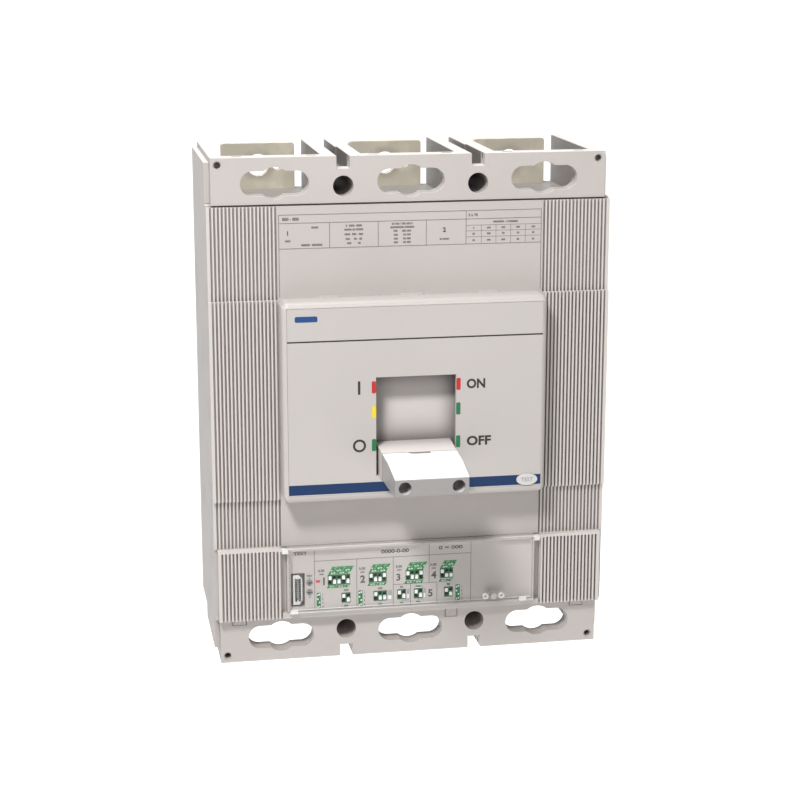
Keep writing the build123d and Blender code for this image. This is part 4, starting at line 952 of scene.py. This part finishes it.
# ------------------------------------------------------------------ stage
# name, place, aim, size and power of each lamp
LAMPS = (
    ("key", (-0.55, -0.90, 1.12), (0.0, -0.05, 0.0), (0.30, 0.26), 20.3),
    ("top", (-0.14, -0.16, 1.40), (0.0, -0.08, 0.0), (0.6, 0.4), 20.0),
    ("front", (0.10, -2.1, 0.80), (0.0, 0.0, 0.0), (1.4, 1.0), 5.4),
)
WORLD_LIGHT = 0.16
FLOOR_DROP = 0.35           # the part floats this far above the floor
FLOOR_FRONT, BEND_START, BEND_RADIUS, WALL_TALL, SWEEP_HALF_WIDTH = -4.0, 1.3, 0.5, 4.0, 5.0
GLOW_FROM, GLOW_FULL = 0.15, 0.45    # the paper glows fully behind the part, less in front


def sweep_mesh():
    """Floor that bends up into a back wall."""
    floor_z = cad_low[2] - FLOOR_DROP
    bend = []
    for i in range(25):
        a = math.pi / 2 * i / 24
        bend.append((BEND_START + BEND_RADIUS * math.sin(a), floor_z + BEND_RADIUS * (1 - math.cos(a))))
    profile = [(FLOOR_FRONT, floor_z)] + bend + [(BEND_START + BEND_RADIUS, floor_z + WALL_TALL)]
    corners = [(x, y, z) for y, z in profile for x in (-SWEEP_HALF_WIDTH, SWEEP_HALF_WIDTH)]
    faces = [(2 * i, 2 * i + 1, 2 * i + 3, 2 * i + 2) for i in range(len(profile) - 1)]
    mesh = bpy.data.meshes.new("sweep")
    mesh.from_pydata(corners, [], faces)
    mesh.polygons.foreach_set("use_smooth", [True] * len(faces))
    return mesh


def paper_finish():
    """Pale paper that glows, so that it stays pale in soft light."""
    paper = Finish("paper", specular_IOR_level=0.1, emission_strength=0.40)
    behind = paper.spread(paper.axes()[1], GLOW_FROM, GLOW_FULL)
    paper.set(emission_color=paper.blend(behind, (0.4, 0.4, 0.4), (1.0, 1.0, 1.0)))
    tooth = paper.cloud(20, 2.0, 0.5)
    paper.set(base_color=paper.blend(tooth, (0.90, 0.90, 0.90), (0.93, 0.93, 0.93)), roughness=0.9)
    return paper.material


def studio():
    """Pale seamless sweep, key from the upper left, a top lamp, a broad front lamp and a dim world."""
    mesh = sweep_mesh()
    mesh.materials.append(paper_finish())
    backdrop = bpy.data.objects.new("sweep", mesh)
    bpy.context.scene.collection.objects.link(backdrop)
    for name, place, aim, size, power in LAMPS:
        lamp = bpy.data.lights.new(name, "AREA")
        lamp.shape = "RECTANGLE"
        lamp.size, lamp.size_y = size
        lamp.energy = power
        put_facing(bpy.data.objects.new(name, lamp), place, aim)
    world = bpy.data.worlds.new("studio")
    world.use_nodes = True
    background = world.node_tree.nodes["Background"]
    background.inputs[0].default_value = (1.0, 1.0, 1.0, 1.0)
    background.inputs[1].default_value = WORLD_LIGHT
    bpy.context.scene.world = world
    bpy.context.scene.view_settings.view_transform = "Standard"


def put_facing(holder, place, aim):
    """Put a lamp or camera at a place, looking at its aim."""
    holder.location = place
    holder.rotation_euler = (Vector(aim) - Vector(place)).to_track_quat("-Z", "Y").to_euler()
    bpy.context.scene.collection.objects.link(holder)


def camera():
    """Long lens from in front, a little to the left and above."""
    lens = bpy.data.cameras.new("camera")
    lens.lens = 86.09
    lens.sensor_width = 36.0
    lens.clip_start = 0.05
    holder = bpy.data.objects.new("camera", lens)
    put_facing(holder, (-0.1770, -1.0466, 0.2407), (0.000985, -0.050, -0.00341))
    bpy.context.scene.camera = holder


paint_cad_nodes()
front_film()
front_marks()
rating_label()
trip_unit_print()
trip_lens()
button_coil()
contact_rows()
studio()
camera()
